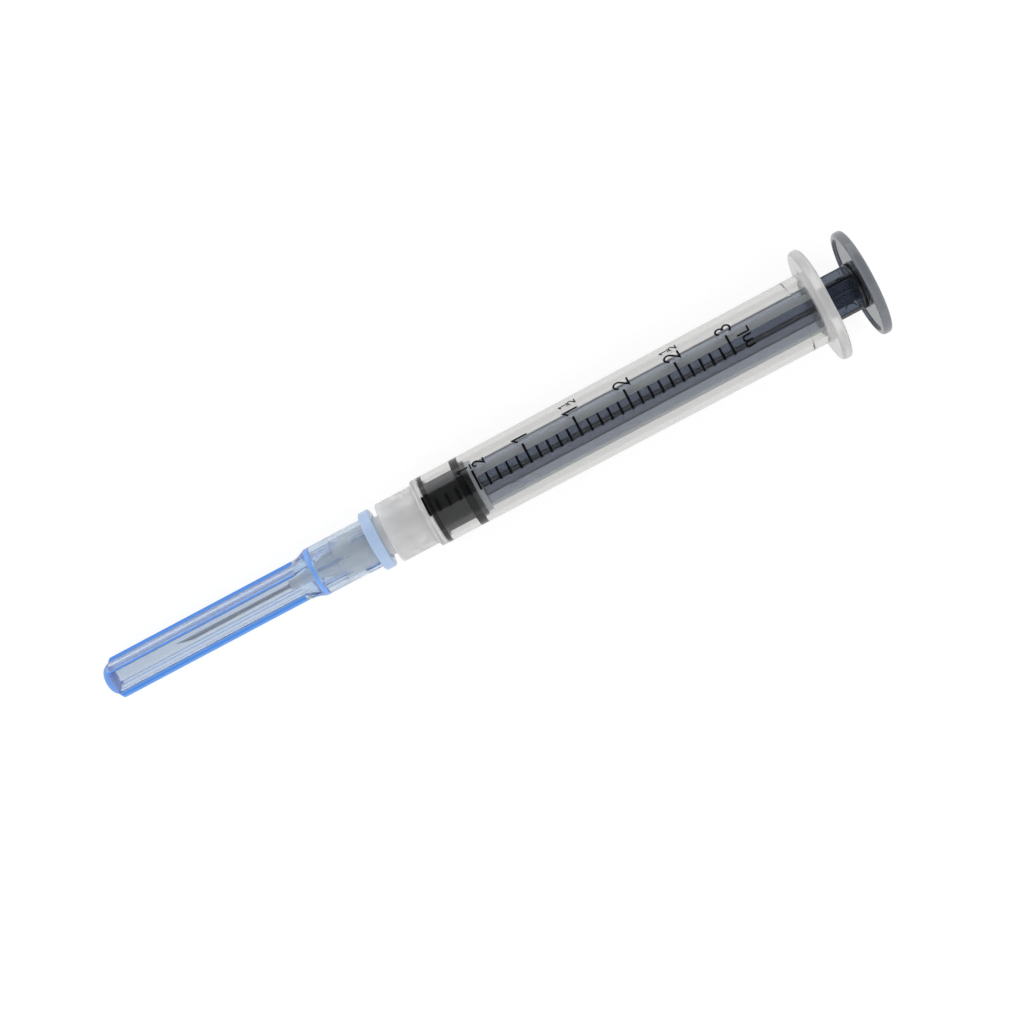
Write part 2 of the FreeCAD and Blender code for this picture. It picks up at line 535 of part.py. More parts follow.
# Needle sheath: sleeve over the hub, cone and tube over the needle, with fins, ribs and splines
def makeSheath(doc):
    body = doc.addObject("PartDesign::Body", "needle_sheath")
    rim = f"{SLEEVE_BORE} + sleeveWall + sheathRim"
    outside = outline(sketchOn(body, "sheathOutside"), [
        (f"-{SHEATH_END}", "0"),
        (f"-{SHEATH_END}", CAP_RADIUS),
        (f"-({SLEEVE_FRONT} + flareLength)", CAP_RADIUS),
        (f"-{SLEEVE_FRONT}", f"{SLEEVE_BORE} + sleeveWall"),
        ("-sheathRimLength", f"{SLEEVE_BORE} + sleeveWall"),
        ("-sheathRimLength", rim),
        ("0", rim),
        ("0", "0"),
    ])
    shell = turned(body, "sheathShell", outside)
    end = min(vertex.X for vertex in shell.Shape.Vertexes)
    tip = eased(body, "sheathTip", shell, "capRound", across(end, size["capBore"] / 2))
    rimRadius = max(math.hypot(vertex.Y, vertex.Z) for vertex in shell.Shape.Vertexes) - near
    eased(body, "sheathRimEdges", tip, "sheathRimBevel",
          lambda ring: across(0, rimRadius)(ring) or across(-size["sheathRimLength"], rimRadius)(ring),
          bevel=True)
    finTop = f"{CAP_RADIUS} + finHeight"
    fin = outline(sketchOn(body, "finOutline"), [
        (f"-({SHEATH_END} - finSetback)", "0"),
        (f"-({SHEATH_END} - finSetback)", f"{finTop} - finBevel"),
        (f"-({SHEATH_END} - finSetback - finBevel)", finTop),
        (f"-{SLEEVE_FRONT}", finTop),
        (f"-{SLEEVE_FRONT}", "0"),
    ])
    repeated(body, "longFins", extruded(body, "longFin", fin, "finWidth", middle=True), "finCount")
    ribTop = f"{SLEEVE_BORE} + sleeveWall + shortRibHeight"
    rib = outline(sketchOn(body, "shortRibOutline"), [
        ("-(sheathRimLength + shortRibLength + shortRibBevel)", "0"),
        ("-(sheathRimLength + shortRibLength + shortRibBevel)", f"{ribTop} - shortRibHeight"),
        ("-(sheathRimLength + shortRibLength)", ribTop),
        ("-sheathRimLength", ribTop),
        ("-sheathRimLength", "0"),
    ])
    repeated(body, "shortRibs", extruded(body, "shortRib", rib, "shortRibWidth", middle=True), "finCount")
    hollow = outline(sketchOn(body, "sheathHollow"), [
        (f"-{SHEATH_BORE_END}", "0"),
        (f"-{SHEATH_BORE_END}", "capBore / 2"),
        (f"-{SLEEVE_FLOOR}", "capBore / 2"),
        (f"-{SLEEVE_FLOOR}", f"{SLEEVE_BORE} - sleeveStep"),
        (f"-{SLEEVE_STEP}", f"{SLEEVE_BORE} - sleeveStep"),
        (f"-{SLEEVE_STEP}", SLEEVE_BORE),
        ("-sleeveBevel", SLEEVE_BORE),
        ("0", f"{SLEEVE_BORE} + sleeveBevel"),
        ("0", "0"),
    ])
    turned(body, "sheathBore", hollow, cut=True)
    splineCrest = f"({HUB_SHOULDER_RADIUS} + splineClearance)"
    splineFoot = f"{SLEEVE_BORE} + splineRoot"
    spline = outline(sketchOn(body, "splineOutline", turn="finRoll"), [
        (f"-({SLEEVE_FLOOR} + splineRoot)", splineCrest),
        (f"-{SLEEVE_STEP}", splineCrest),
        (f"-(hubStraight - {HUB_OUTSIDE_SHEATH})", SLEEVE_BORE),
        (f"-(hubStraight - {HUB_OUTSIDE_SHEATH})", splineFoot),
        (f"-({SLEEVE_FLOOR} + splineRoot)", splineFoot),
    ])
    repeated(body, "splines", extruded(body, "splineBar", spline, "splineWidth", middle=True), "splineCount")
    return body


# Where each piece starts along the common axis, measured from the end of the bore
def placesAlongAxis():
    collarMouth = -(size["endWall"] + size["collarLength"])
    hubMouth = collarMouth - size["luerReach"] + size["luerHold"]
    hubNose = hubMouth - size["hubLength"]
    return {
        "barrel": 0.0,
        "stopper": size["stopperGap"],
        "plunger_rod": size["stopperGap"] + size["stopperLength"],
        "needle_hub": hubMouth,
        "cannula": hubNose - size["tubeFree"],
        "glue_bead": hubNose,
        "needle_sheath": collarMouth - size["sheathGap"],
    }


# Lays every piece on the common axis, with the middle of the whole length over the origin
def layDown(bodies):
    places = placesAlongAxis()
    roll = math.radians(size["finRoll"])
    capRadius = size["capBore"] / 2 + size["capWall"]
    finReach = (capRadius + size["finHeight"]) * math.cos(roll) + size["finWidth"] / 2 * math.sin(roll)
    sheathEnd = places["cannula"] - size["capRoom"] - size["capEnd"]
    finEnd = sheathEnd + size["finSetback"] + size["finBevel"]
    flangeEdge = size["barrelLength"] - size["flangeThickness"] + size["flangeBevel"]
    flats = size["flangeDiameter"] / 2 - size["flangeFlat"]
    slope = math.atan2(flats - finReach, flangeEdge - finEnd)
    thumbRear = size["barrelLength"] + size["thumbStandoff"] + size["thumbThickness"]
    thumbEdge = size["thumbDiameter"] / 2 - size["thumbBevel"]
    highEnd = thumbRear * math.cos(slope) + thumbEdge * math.sin(slope)
    tipFlat = capRadius - size["capRound"]
    tipCentre = sheathEnd + size["capRound"]
    lowEnd = tipCentre * math.cos(slope) - tipFlat * math.sin(slope) - size["capRound"]
    height = finReach * math.cos(slope) - finEnd * math.sin(slope)
    turns = {
        "plunger_rod": -size["finRoll"],
        "needle_sheath": -size["finRoll"],
        "needle_hub": size["lugRoll"],
    }
    tilt = FreeCAD.Rotation(FreeCAD.Vector(0, 1, 0), -math.degrees(slope))
    origin = FreeCAD.Vector(-(highEnd + lowEnd) / 2, 0, height)
    for body in bodies:
        forward = tilt.multVec(FreeCAD.Vector(places[body.Label], 0, 0))
        turn = FreeCAD.Rotation(FreeCAD.Vector(1, 0, 0), turns.get(body.Label, 0.0))
        body.Placement = FreeCAD.Placement(origin + forward, tilt.multiply(turn))
    print(f"axis rises {math.degrees(slope):.4f} degrees, end of the bore at {origin.x:.4f}, {origin.z:.4f}")


def main():
    doc = FreeCAD.newDocument("syringe")
    fillSheet(doc)
    makers = [makeBarrel, makeStopper, makeRod, makeHub, makeCannula, makeGlue, makeSheath]
    bodies = [make(doc) for make in makers]
    layDown(bodies)
    doc.recompute()
    for item in doc.Objects:
        if "Invalid" in item.State or "Error" in item.State:
            raise RuntimeError(f"{item.Label} failed: {item.State}")
    os.makedirs("parts", exist_ok=True)
    for body in bodies:
        shape = body.Shape
        if shape.isNull() or not shape.isValid() or len(shape.Solids) != 1:
            raise RuntimeError(f"{body.Label} is not one valid solid")
        shape.exportStep(f"parts/{body.Label}.step")
        box = shape.optimalBoundingBox(False)
        reach = f"X {box.XMin:.3f} to {box.XMax:.3f}, Z from {box.ZMin:.3f}"
        print(f"{body.Label}: {shape.Volume:.3f} mm3, {reach}")


main()
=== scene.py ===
import json
import math
import random

import bmesh
import bpy
from mathutils import Matrix, Vector


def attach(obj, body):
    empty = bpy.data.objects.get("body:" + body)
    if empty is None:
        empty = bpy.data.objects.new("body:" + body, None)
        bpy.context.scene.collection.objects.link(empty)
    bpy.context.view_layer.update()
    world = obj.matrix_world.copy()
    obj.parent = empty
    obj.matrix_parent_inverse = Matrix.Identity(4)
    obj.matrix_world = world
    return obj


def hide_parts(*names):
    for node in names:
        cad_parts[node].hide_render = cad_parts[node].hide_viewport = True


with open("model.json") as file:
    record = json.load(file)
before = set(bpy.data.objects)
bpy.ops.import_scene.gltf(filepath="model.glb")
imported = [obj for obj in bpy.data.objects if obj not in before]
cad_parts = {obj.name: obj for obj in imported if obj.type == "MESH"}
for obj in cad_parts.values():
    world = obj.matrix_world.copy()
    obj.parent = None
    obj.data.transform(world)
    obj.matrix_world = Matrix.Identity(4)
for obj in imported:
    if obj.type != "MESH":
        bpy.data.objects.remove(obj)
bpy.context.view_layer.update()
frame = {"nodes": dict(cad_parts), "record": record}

print("frame loaded")

layout = {
    "thumbFace": 69.3,                # end of the bore to the rear of the thumb disc
    "millimetre": 0.001,
    "hold": 0.06, "longRun": 0.9,     # extra points this far from both ends of any longer straight run
    "sharpAngle": 32,                 # degrees between faces from which an edge stays sharp
}

# The syringe's own axis, read from the mounts: x runs from the end of the bore to the thumb, in millimetres
mounts = {mount["name"]: mount for mount in frame["record"]["mounts"]}
alongAxis = Vector(mounts["thumb_face"]["axis"]).normalized()
acrossAxis = Vector((0, 1, 0))
upFromAxis = alongAxis.cross(acrossAxis)
boreEnd = Vector(mounts["thumb_face"]["pos_m"]) - alongAxis * layout["thumbFace"] * layout["millimetre"]
slope = math.atan2(alongAxis.z, alongAxis.x)
lay = (Matrix.Translation(boreEnd)
       @ Matrix((alongAxis, acrossAxis, upFromAxis)).transposed().to_4x4()
       @ Matrix.Scale(layout["millimetre"], 4))


# Corners (place, radius, rounding) to a profile of points, with an arc where a rounding is given
def easedProfile(corners, steps=6):
    points = []
    for index, (x, r, rounding) in enumerate(corners):
        here = Vector((x, r))
        if not rounding:
            points.append((x, r))
            continue
        before = (Vector(corners[index - 1][:2]) - here).normalized()
        after = (Vector(corners[(index + 1) % len(corners)][:2]) - here).normalized()
        half = before.angle(after) / 2
        centre = here + (before + after).normalized() * rounding / math.sin(half)
        start = here + before * rounding / math.tan(half) - centre
        end = here + after * rounding / math.tan(half) - centre
        first = math.atan2(start.y, start.x)
        sweep = (math.atan2(end.y, end.x) - first + math.pi) % (2 * math.pi) - math.pi
        for step in range(steps + 1):
            turn = first + sweep * step / steps
            points.append((centre.x + rounding * math.cos(turn), centre.y + rounding * math.sin(turn)))
    return points


# Adds a point close to both ends of each long straight run, so that smooth shading stays in the roundings
def heldProfile(profile, closed):
    points = []
    following = profile[1:] + (profile[:1] if closed else [])
    for here, there in zip(profile, following):
        points.append(here)
        length = math.dist(here, there)
        if length > layout["longRun"]:
            for share in (layout["hold"] / length, 1 - layout["hold"] / length):
                points.append((here[0] + (there[0] - here[0]) * share, here[1] + (there[1] - here[1]) * share))
    return points if closed else points + profile[-1:]


# Turns a profile about the axis into one closed skin; reach may change the radius with the turn
def turnedMesh(name, profile, turns, closed, reach=None):
    skin = bmesh.new()
    segments = len(turns)
    rings = []
    for x, r in heldProfile(profile, closed):
        if r < 1e-6:    # on the axis, where one point closes the end
            rings.append([skin.verts.new((x, 0, 0))])
            continue
        ring = []
        for turn in turns:
            radius = reach(x, r, turn) if reach else r
            ring.append(skin.verts.new((x, radius * math.cos(turn), radius * math.sin(turn))))
        rings.append(ring)
    pairs = list(zip(rings, rings[1:])) + ([(rings[-1], rings[0])] if closed else [])
    for near, far in pairs:
        for step in range(segments):
            following = (step + 1) % segments
            if len(near) == 1:
                skin.faces.new((near[0], far[following], far[step]))
            elif len(far) == 1:
                skin.faces.new((near[step], near[following], far[0]))
            else:
                skin.faces.new((near[step], near[following], far[following], far[step]))
    return skinMesh(name, skin)


# Faces a skin outward and makes a mesh of it
def skinMesh(name, skin):
    bmesh.ops.recalc_face_normals(skin, faces=skin.faces)
    mesh = bpy.data.meshes.new(name)
    skin.to_mesh(mesh)
    skin.free()
    return mesh


def evenTurns(count):
    return [2 * math.pi * step / count for step in range(count)]


# A radius that follows the lesser of two limits, with the corner between them eased
def easedLimit(first, second, sharpness):
    return (first ** -sharpness + second ** -sharpness) ** (-1 / sharpness)


# Lays a mesh on the syringe's axis, smooths it up to its edges and hangs it on a body of the frame
def addPiece(name, mesh, material, body, replaced=None):
    mesh.transform(lay)
    for polygon in mesh.polygons:
        polygon.use_smooth = True
    mesh.set_sharp_from_angle(angle=math.radians(layout["sharpAngle"]))
    mesh.materials.append(material)
    piece = bpy.data.objects.new(name, mesh)
    bpy.context.scene.collection.objects.link(piece)
    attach(piece, body)
    if replaced:
        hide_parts(replaced)


# The rod's sizes in millimetres, which its material needs too
rodSizes = {
    "head": 2.2, "headRadius": 2.6, "headLength": 3.0, "neckRadius": 1.8, "neckLength": 2.0,
    "discRadius": 3.935, "disc": 0.95, "fin": 3.65, "finHalf": 0.525, "root": 0.3,
    "boss": 67.3, "bossRadius": 3.5, "thumbFront": 67.85, "thumbRear": 69.3, "thumbRadius": 8.025,
    "recess": 0.3, "recessRadius": 7.15,
    "roll": 28.0,                               # the uppermost fin's turn away from straight up, in degrees
    "edgeSharpness": 26, "filletBend": 0.55,    # how crisp the fins' edges are, and how their fillets curve
    "filletSpan": 1.3, "filletMost": 1.25,      # fillets lie inside this radius and raise it at most by this factor
    "lengths": 4,                               # rings along the fins
    "round": {
        "head": 0.15, "headRear": 0.1, "neck": 0.05, "discFoot": 0.1, "discFront": 0.16, "discRear": 0.2,
        "boss": 0.12, "bossFoot": 0.2, "recess": 0.15, "lip": 0.12, "thumb": 0.5,
    },
}


# An sRGB hex colour as linear values
def linear(code):
    parts = [int(code[index:index + 2], 16) / 255 for index in (1, 3, 5)]
    return tuple(part / 12.92 if part <= 0.04045 else ((part + 0.055) / 1.055) ** 2.4 for part in parts) + (1.0,)


# Fills a node's inputs, with values or from sockets
def fillInputs(tree, node, inputs):
    for name, value in inputs.items():
        if isinstance(value, bpy.types.NodeSocket):
            tree.links.new(value, node.inputs[name])
        else:
            node.inputs[name].default_value = value


# Adds one node with its settings and inputs
def addNode(tree, kind, inputs=None, **settings):
    node = tree.nodes.new(kind)
    for name, value in settings.items():
        setattr(node, name, value)
    fillInputs(tree, node, inputs or {})
    return node


# A new material and its tree, with the place on the part in millimetres along the syringe's axis
def newMaterial(name):
    material = bpy.data.materials.new(name)
    material.use_nodes = True
    tree = material.node_tree
    place = addNode(tree, "ShaderNodeTexCoord")
    inMillimetres = addNode(tree, "ShaderNodeMapping", {
        "Vector": place.outputs["Object"],
        "Scale": [1 / layout["millimetre"]] * 3,
        "Rotation": (0, slope, 0),
        "Location": lay.inverted() @ Vector((0, 0, 0)),
    })
    return material, tree, inMillimetres.outputs["Vector"]


# Finishes a material: a pattern varies its roughness, a height its relief, and what it absorbs colours its depth
def finishMaterial(material, look, colour, pattern, height, inputs, roughness=None):
    tree = material.node_tree
    rough = roughness or look["roughness"]
    if "patternRoughness" in look:
        rough = addNode(tree, "ShaderNodeMath", {
            0: pattern, 1: look["patternRoughness"], 2: rough}, operation="MULTIPLY_ADD").outputs["Value"]
    bump = addNode(tree, "ShaderNodeBump", {
        "Height": height, "Strength": look["bump"], "Distance": look["bumpHeight"]})
    fillInputs(tree, tree.nodes["Principled BSDF"], {
        "Base Color": colour, "Roughness": rough, "Normal": bump.outputs["Normal"], **inputs})
    if "absorbed" in look:
        depth = addNode(tree, "ShaderNodeVolumeAbsorption", {"Color": look["absorbed"], "Density": look["density"]})
        fillInputs(tree, tree.nodes["Material Output"], {"Volume": depth.outputs["Volume"]})
    return material


# A zone's weight inside it and nought outside, with soft limits. Zones are (first x, last x, least radius, most radius,
# weight), and a sixth value keeps a zone to places that far out sideways.
def zoneMask(tree, place, zones, softness=0.15):
    parts = addNode(tree, "ShaderNodeSeparateXYZ", {"Vector": place}).outputs
    flat = addNode(tree, "ShaderNodeCombineXYZ", {"Y": parts["Y"], "Z": parts["Z"]})
    radius = addNode(tree, "ShaderNodeVectorMath", {0: flat.outputs["Vector"]}, operation="LENGTH").outputs["Value"]
    aside = addNode(tree, "ShaderNodeMath", {0: parts["Y"]}, operation="ABSOLUTE").outputs["Value"]
    found = None
    for first, last, inner, outer, weight, *beside in zones:
        zone = None
        for value, low, high in [(parts["X"], first, first + softness), (parts["X"], last, last - softness),
                                 (radius, inner, inner + softness), (radius, outer, outer - softness),
                                 *((aside, reach, reach + softness) for reach in beside)]:
            limit = addNode(tree, "ShaderNodeMapRange", {
                "Value": value, "From Min": low, "From Max": high, "To Max": 1.0 if zone else weight})
            step = limit.outputs["Result"]
            if zone:
                step = addNode(tree, "ShaderNodeMath", {0: zone, 1: step}, operation="MULTIPLY").outputs["Value"]
            zone = step
        found = zone if found is None else addNode(
            tree, "ShaderNodeMath", {0: found, 1: zone}, operation="MAXIMUM").outputs["Value"]
    return found


# Polypropylene, injection moulded: clear but faintly milky, with slow waves from the mould's flow.
# The flange and the locking collar come from a blasted part of the mould, so they are frosted.
def clearPolypropylene():
    look = {
        "tint": "#f0f0ef", "cloud": "#eaebeb", "frost": "#fbfbfb", "ior": 1.49,
        "tubeRoughness": 0.0, "frostRoughness": 0.07, "patternRoughness": 0.02,
        "tubeClear": 0.995, "frostClear": 0.6,
        "milkyZone": [(60.6, 64.0, 0.0, 20.0, 1.0), (-8.0, 0.3, 3.2, 20.0, 0.9)], "frostEdge": 0.4,
        "cloudSize": 2.86, "grainSize": 0.2, "waveSize": 4.55,    # millimetres
        "bump": 0.06, "bumpHeight": 0.00002,
        "absorbed": (0.5, 0.42, 0.3, 1), "density": 40.0,    # per metre
    }
    material, tree, place = newMaterial("polypropyleneClearMoulded")
    frost = zoneMask(tree, place, look["milkyZone"], look["frostEdge"])
    clouds = addNode(tree, "ShaderNodeTexNoise", {"Vector": place, "Scale": 1 / look["cloudSize"], "Detail": 3.0})
    grain = addNode(tree, "ShaderNodeTexNoise", {"Vector": place, "Scale": 1 / look["grainSize"], "Detail": 4.0})
    waves = addNode(tree, "ShaderNodeTexNoise", {"Vector": place, "Scale": 1 / look["waveSize"], "Detail": 2.0})
    plain = addNode(tree, "ShaderNodeMix", {
        "Factor": clouds.outputs["Fac"], "A": linear(look["tint"]), "B": linear(look["cloud"])}, data_type="RGBA")
    colour = addNode(tree, "ShaderNodeMix", {
        "Factor": frost, "A": plain.outputs["Result"], "B": linear(look["frost"])}, data_type="RGBA")
    smooth = addNode(tree, "ShaderNodeMapRange", {
        "Value": frost, "To Min": look["tubeRoughness"], "To Max": look["frostRoughness"]})
    clear = addNode(tree, "ShaderNodeMapRange", {
        "Value": frost, "To Min": look["tubeClear"], "To Max": look["frostClear"]})
    height = addNode(tree, "ShaderNodeMath", {
        0: grain.outputs["Fac"], 1: frost, 2: waves.outputs["Fac"]}, operation="MULTIPLY_ADD")
    return finishMaterial(
        material, look, colour.outputs["Result"], grain.outputs["Fac"], height.outputs["Value"],
        {"IOR": look["ior"], "Transmission Weight": clear.outputs["Result"]}, smooth.outputs["Result"])


# Polystyrene, injection moulded and smoke tinted: thin walls look slate grey, and edges seen along their depth black.
# The rod between the flange and the thumb disc, and the thumb disc itself, are painted darker, as painted shade; the
# fins' edges and the rims of both discs are painted paler and milky, as a painted highlight.
def smokePolystyrene():
    look = {
        # The third and fourth tones are darker ones, painted as shade on the rod past the flange and on the thumb disc
        "tint": "#f2f4f8", "cloud": "#e8ebf1", "edge": "#dde3ea", "paintedLight": "#8d949e", "disc": "#80868f",
        "ior": 1.55, "roughness": 0.07, "patternRoughness": 0.04, "clear": 0.97, "edgeClear": 0.3,
        "absorbed": (0.13, 0.21, 0.37, 1), "density": 850.0,    # per metre
        # Painted shade: the first zone darkens the rod between the flange and the thumb disc, the second the thumb disc
        "paintedShadeZone": [(61.6, 67.9, 0.0, 20.0, 1.0)], "paintedShadeEdge": 0.8, "discShadeZone": [(67.6, 70.0, 0.0, 20.0, 1.0)],
        # Painted highlight: these zones make the fins' edges and the discs' rims paler and milky
        "milkyZone": [(8.2, 61.4, 3.45, 20.0, 1.0), (7.0, 8.4, 3.3, 20.0, 1.0), (67.6, 69.6, 7.3, 20.0, 0.5)],
        "streakSize": (6.67, 0.714, 0.714), "speckSize": 0.167,    # millimetres
        "bump": 0.6, "bumpHeight": 0.00002, "streakHeight": 0.15,
        "marks": (12.4, 65.5), "markReach": 2.0,    # the ejector marks' places along and across the rod
        "markInside": 1.05, "markOutside": 1.17, "markDepth": 4.0,
    }
    material, tree, place = newMaterial("polystyreneSmokeMoulded")
    # Mask of the painted highlight on the fins' edges and the discs' rims
    milkyZone = zoneMask(tree, place, look["milkyZone"])
    flow = addNode(tree, "ShaderNodeMapping", {"Vector": place, "Scale": [1 / size for size in look["streakSize"]]})
    streaks = addNode(tree, "ShaderNodeTexNoise", {"Vector": flow.outputs["Vector"], "Scale": 1.0, "Detail": 4.0})
    fine = addNode(tree, "ShaderNodeTexNoise", {"Vector": place, "Scale": 1 / look["speckSize"], "Detail": 3.0})
    colour = addNode(tree, "ShaderNodeMix", {
        "Factor": streaks.outputs["Fac"], "A": linear(look["cloud"]), "B": linear(look["tint"])}, data_type="RGBA")
    # Painted shade over the rod past the flange and over the thumb disc, then the painted highlight of edges and rims
    for mask, tone in ((zoneMask(tree, place, look["paintedShadeZone"], look["paintedShadeEdge"]), "paintedLight"),
                       (zoneMask(tree, place, look["discShadeZone"]), "disc"), (milkyZone, "edge")):
        colour = addNode(tree, "ShaderNodeMix", {
            "Factor": mask, "A": colour.outputs["Result"], "B": linear(look[tone])}, data_type="RGBA")
    clear = addNode(tree, "ShaderNodeMapRange", {
        "Value": milkyZone, "To Min": look["clear"], "To Max": look["edgeClear"]})
    # Round marks of the ejector pins: places on the fins that lie flat, found along the rod and across it
    lying = addNode(tree, "ShaderNodeMapping", {"Vector": place, "Rotation": (math.radians(-rodSizes["roll"]), 0, 0)})
    onFin = addNode(tree, "ShaderNodeSeparateXYZ", {"Vector": lying.outputs["Vector"]})
    out = addNode(tree, "ShaderNodeMath", {0: onFin.outputs["Y"]}, operation="ABSOLUTE")
    point = addNode(tree, "ShaderNodeCombineXYZ", {"X": onFin.outputs["X"], "Y": out.outputs["Value"]})
    height = addNode(tree, "ShaderNodeMath", {
        0: streaks.outputs["Fac"], 1: look["streakHeight"]}, operation="MULTIPLY").outputs["Value"]
    for mark in look["marks"]:
        apart = addNode(tree, "ShaderNodeVectorMath", {
            0: point.outputs["Vector"], 1: (mark, look["markReach"], 0)}, operation="DISTANCE")
        sunk = addNode(tree, "ShaderNodeMapRange", {
            "Value": apart.outputs["Value"], "From Min": look["markInside"], "From Max": look["markOutside"],
            "To Min": -look["markDepth"], "To Max": 0.0})
        height = addNode(tree, "ShaderNodeMath", {0: height, 1: sunk.outputs["Result"]}).outputs["Value"]
    return finishMaterial(material, look, colour.outputs["Result"], fine.outputs["Fac"], height, {
        "IOR": look["ior"], "Transmission Weight": clear.outputs["Result"]})


# Bromobutyl rubber, compression moulded and wetted with silicone oil: black, with a soft oily gloss
def siliconedRubber():
    look = {
        "black": "#0c0e12", "bloom": "#12151a", "ior": 1.5, "gloss": 0.1, "roughness": 0.29, "patternRoughness": 0.18,
        "bloomSize": 1.11, "pitSize": 0.111,    # millimetres
        "bump": 0.3, "bumpHeight": 0.00002,
    }
    material, tree, place = newMaterial("bromobutylRubberSiliconed")
    bloom = addNode(tree, "ShaderNodeTexNoise", {"Vector": place, "Scale": 1 / look["bloomSize"], "Detail": 5.0})
    pits = addNode(tree, "ShaderNodeTexNoise", {"Vector": place, "Scale": 1 / look["pitSize"], "Detail": 3.0})
    colour = addNode(tree, "ShaderNodeMix", {
        "Factor": bloom.outputs["Fac"], "A": linear(look["black"]), "B": linear(look["bloom"])}, data_type="RGBA")
    return finishMaterial(material, look, colour.outputs["Result"], bloom.outputs["Fac"], pits.outputs["Fac"], {
        "IOR": look["ior"], "Specular IOR Level": look["gloss"]})


# Polypropylene of the needle's hub, injection moulded without colour: cloudy glass with a smooth skin
def hubPolypropylene():
    look = {
        "tint": "#fcfcfc", "cloud": "#f7f8f8", "ior": 1.49, "clear": 0.3, "roughness": -0.01, "patternRoughness": 0.1,
        "cloudSize": 1.25,    # millimetres
        "bump": 0.4, "bumpHeight": 0.00003,
    }
    material, tree, place = newMaterial("polypropyleneHubMoulded")
    clouds = addNode(tree, "ShaderNodeTexNoise", {"Vector": place, "Scale": 1 / look["cloudSize"], "Detail": 4.0})
    colour = addNode(tree, "ShaderNodeMix", {
        "Factor": clouds.outputs["Fac"], "A": linear(look["tint"]), "B": linear(look["cloud"])}, data_type="RGBA")
    return finishMaterial(material, look, colour.outputs["Result"], clouds.outputs["Fac"], clouds.outputs["Fac"], {
        "IOR": look["ior"], "Transmission Weight": look["clear"]})


# Polypropylene of the needle's sheath, moulded in translucent blue: pale through the walls. Thick places, such as the
# fins and the closed tip, are painted a deeper blue, partly for the depth of blue plastic and partly as a painted glow
# of the light they gather; the collar is paler and milky.
def bluePolypropylene():
    look = {
        "tint": "#fafcfe", "cloud": "#f3f7fc", "glow": "#5ea6ff", "pale": "#c6defc", "ior": 1.49,
        "clear": 0.91, "glowClear": 0.25, "paleClear": 0.3, "roughness": 0.0, "patternRoughness": 0.02,
        "absorbed": (0.04, 0.53, 0.98, 1), "density": 150.0,    # per metre
        # Zones painted deeper blue: partly for the plastic's depth, partly a painted glow of gathered light
        "paintedLight": [(-52.2, -21.3, 2.6, 3.3, 1.0), (-52.2, -21.3, 2.9, 20.0, 1.0, 2.5), (-60.0, -51.3, 0.0, 20.0, 0.9),
                  (-18.85, -18.1, 2.9, 20.0, 0.9), (-12.1, -9.7, 3.72, 3.98, 0.8), (-18.05, -12.9, 2.5, 2.93, 0.4)],
        "collar": [(-9.8, -7.0, 3.75, 20.0, 1.0)],
        "streakSize": (8.33, 1.11, 1.11), "speckSize": 0.2,    # millimetres
        "bump": 0.05, "bumpHeight": 0.00002,
    }
    material, tree, place = newMaterial("polypropyleneBlueMoulded")
    paintedLight = zoneMask(tree, place, look["paintedLight"])
    collar = zoneMask(tree, place, look["collar"])
    flow = addNode(tree, "ShaderNodeMapping", {"Vector": place, "Scale": [1 / size for size in look["streakSize"]]})
    streaks = addNode(tree, "ShaderNodeTexNoise", {"Vector": flow.outputs["Vector"], "Scale": 1.0, "Detail": 3.0})
    fine = addNode(tree, "ShaderNodeTexNoise", {"Vector": place, "Scale": 1 / look["speckSize"], "Detail": 3.0})
    colour = addNode(tree, "ShaderNodeMix", {
        "Factor": streaks.outputs["Fac"], "A": linear(look["tint"]), "B": linear(look["cloud"])}, data_type="RGBA")
    clear = look["clear"]
    # The collar's paler tone, then the deeper blue with its painted glow in the thick places
    for mask, tone, through in ((collar, "pale", "paleClear"), (paintedLight, "glow", "glowClear")):
        colour = addNode(tree, "ShaderNodeMix", {
            "Factor": mask, "A": colour.outputs["Result"], "B": linear(look[tone])}, data_type="RGBA")
        clear = addNode(tree, "ShaderNodeMapRange", {
            "Value": mask, "To Min": clear, "To Max": look[through]}).outputs["Result"]
    return finishMaterial(material, look, colour.outputs["Result"], fine.outputs["Fac"], streaks.outputs["Fac"], {
        "IOR": look["ior"], "Transmission Weight": clear})


# Stainless steel tube, drawn and ground: fine lines along the tube break up the reflection
def drawnSteel():
    look = {
        "steel": "#b9bcbf", "dark": "#9a9ea3", "metallic": 1.0, "roughness": 0.18, "patternRoughness": 0.16,
        "lineSize": (2.5, 0.0714, 0.0714),    # millimetres, coarser than real lines, to show
        "bump": 0.4, "bumpHeight": 0.000006,
    }
    material, tree, place = newMaterial("stainlessSteelDrawn")
    lines = addNode(tree, "ShaderNodeMapping", {"Vector": place, "Scale": [1 / size for size in look["lineSize"]]})
    drawn = addNode(tree, "ShaderNodeTexNoise", {"Vector": lines.outputs["Vector"], "Scale": 1.0, "Detail": 4.0})
    colour = addNode(tree, "ShaderNodeMix", {
        "Factor": drawn.outputs["Fac"], "A": linear(look["dark"]), "B": linear(look["steel"])}, data_type="RGBA")
    return finishMaterial(material, look, colour.outputs["Result"], drawn.outputs["Fac"], drawn.outputs["Fac"], {
        "Metallic": look["metallic"]})


# Acrylic adhesive, cured under light: a small glassy bead with a few trapped bubbles
def curedAdhesive():
    look = {
        "tint": "#dfe3e2", "bubble": "#c9cfd2", "ior": 1.5, "roughness": 0.08, "clear": 0.8,
        "bubbleSize": 0.143,    # millimetres
        "bump": 0.3, "bumpHeight": 0.00002,
    }
    material, tree, place = newMaterial("acrylicAdhesiveCured")
    bubbles = addNode(tree, "ShaderNodeTexVoronoi", {"Vector": place, "Scale": 1 / look["bubbleSize"]})
    colour = addNode(tree, "ShaderNodeMix", {
        "Factor": bubbles.outputs["Distance"], "A": linear(look["bubble"]), "B": linear(look["tint"])},
        data_type="RGBA")
    return finishMaterial(material, look, colour.outputs["Result"], None, bubbles.outputs["Distance"], {
        "IOR": look["ior"], "Transmission Weight": look["clear"]})


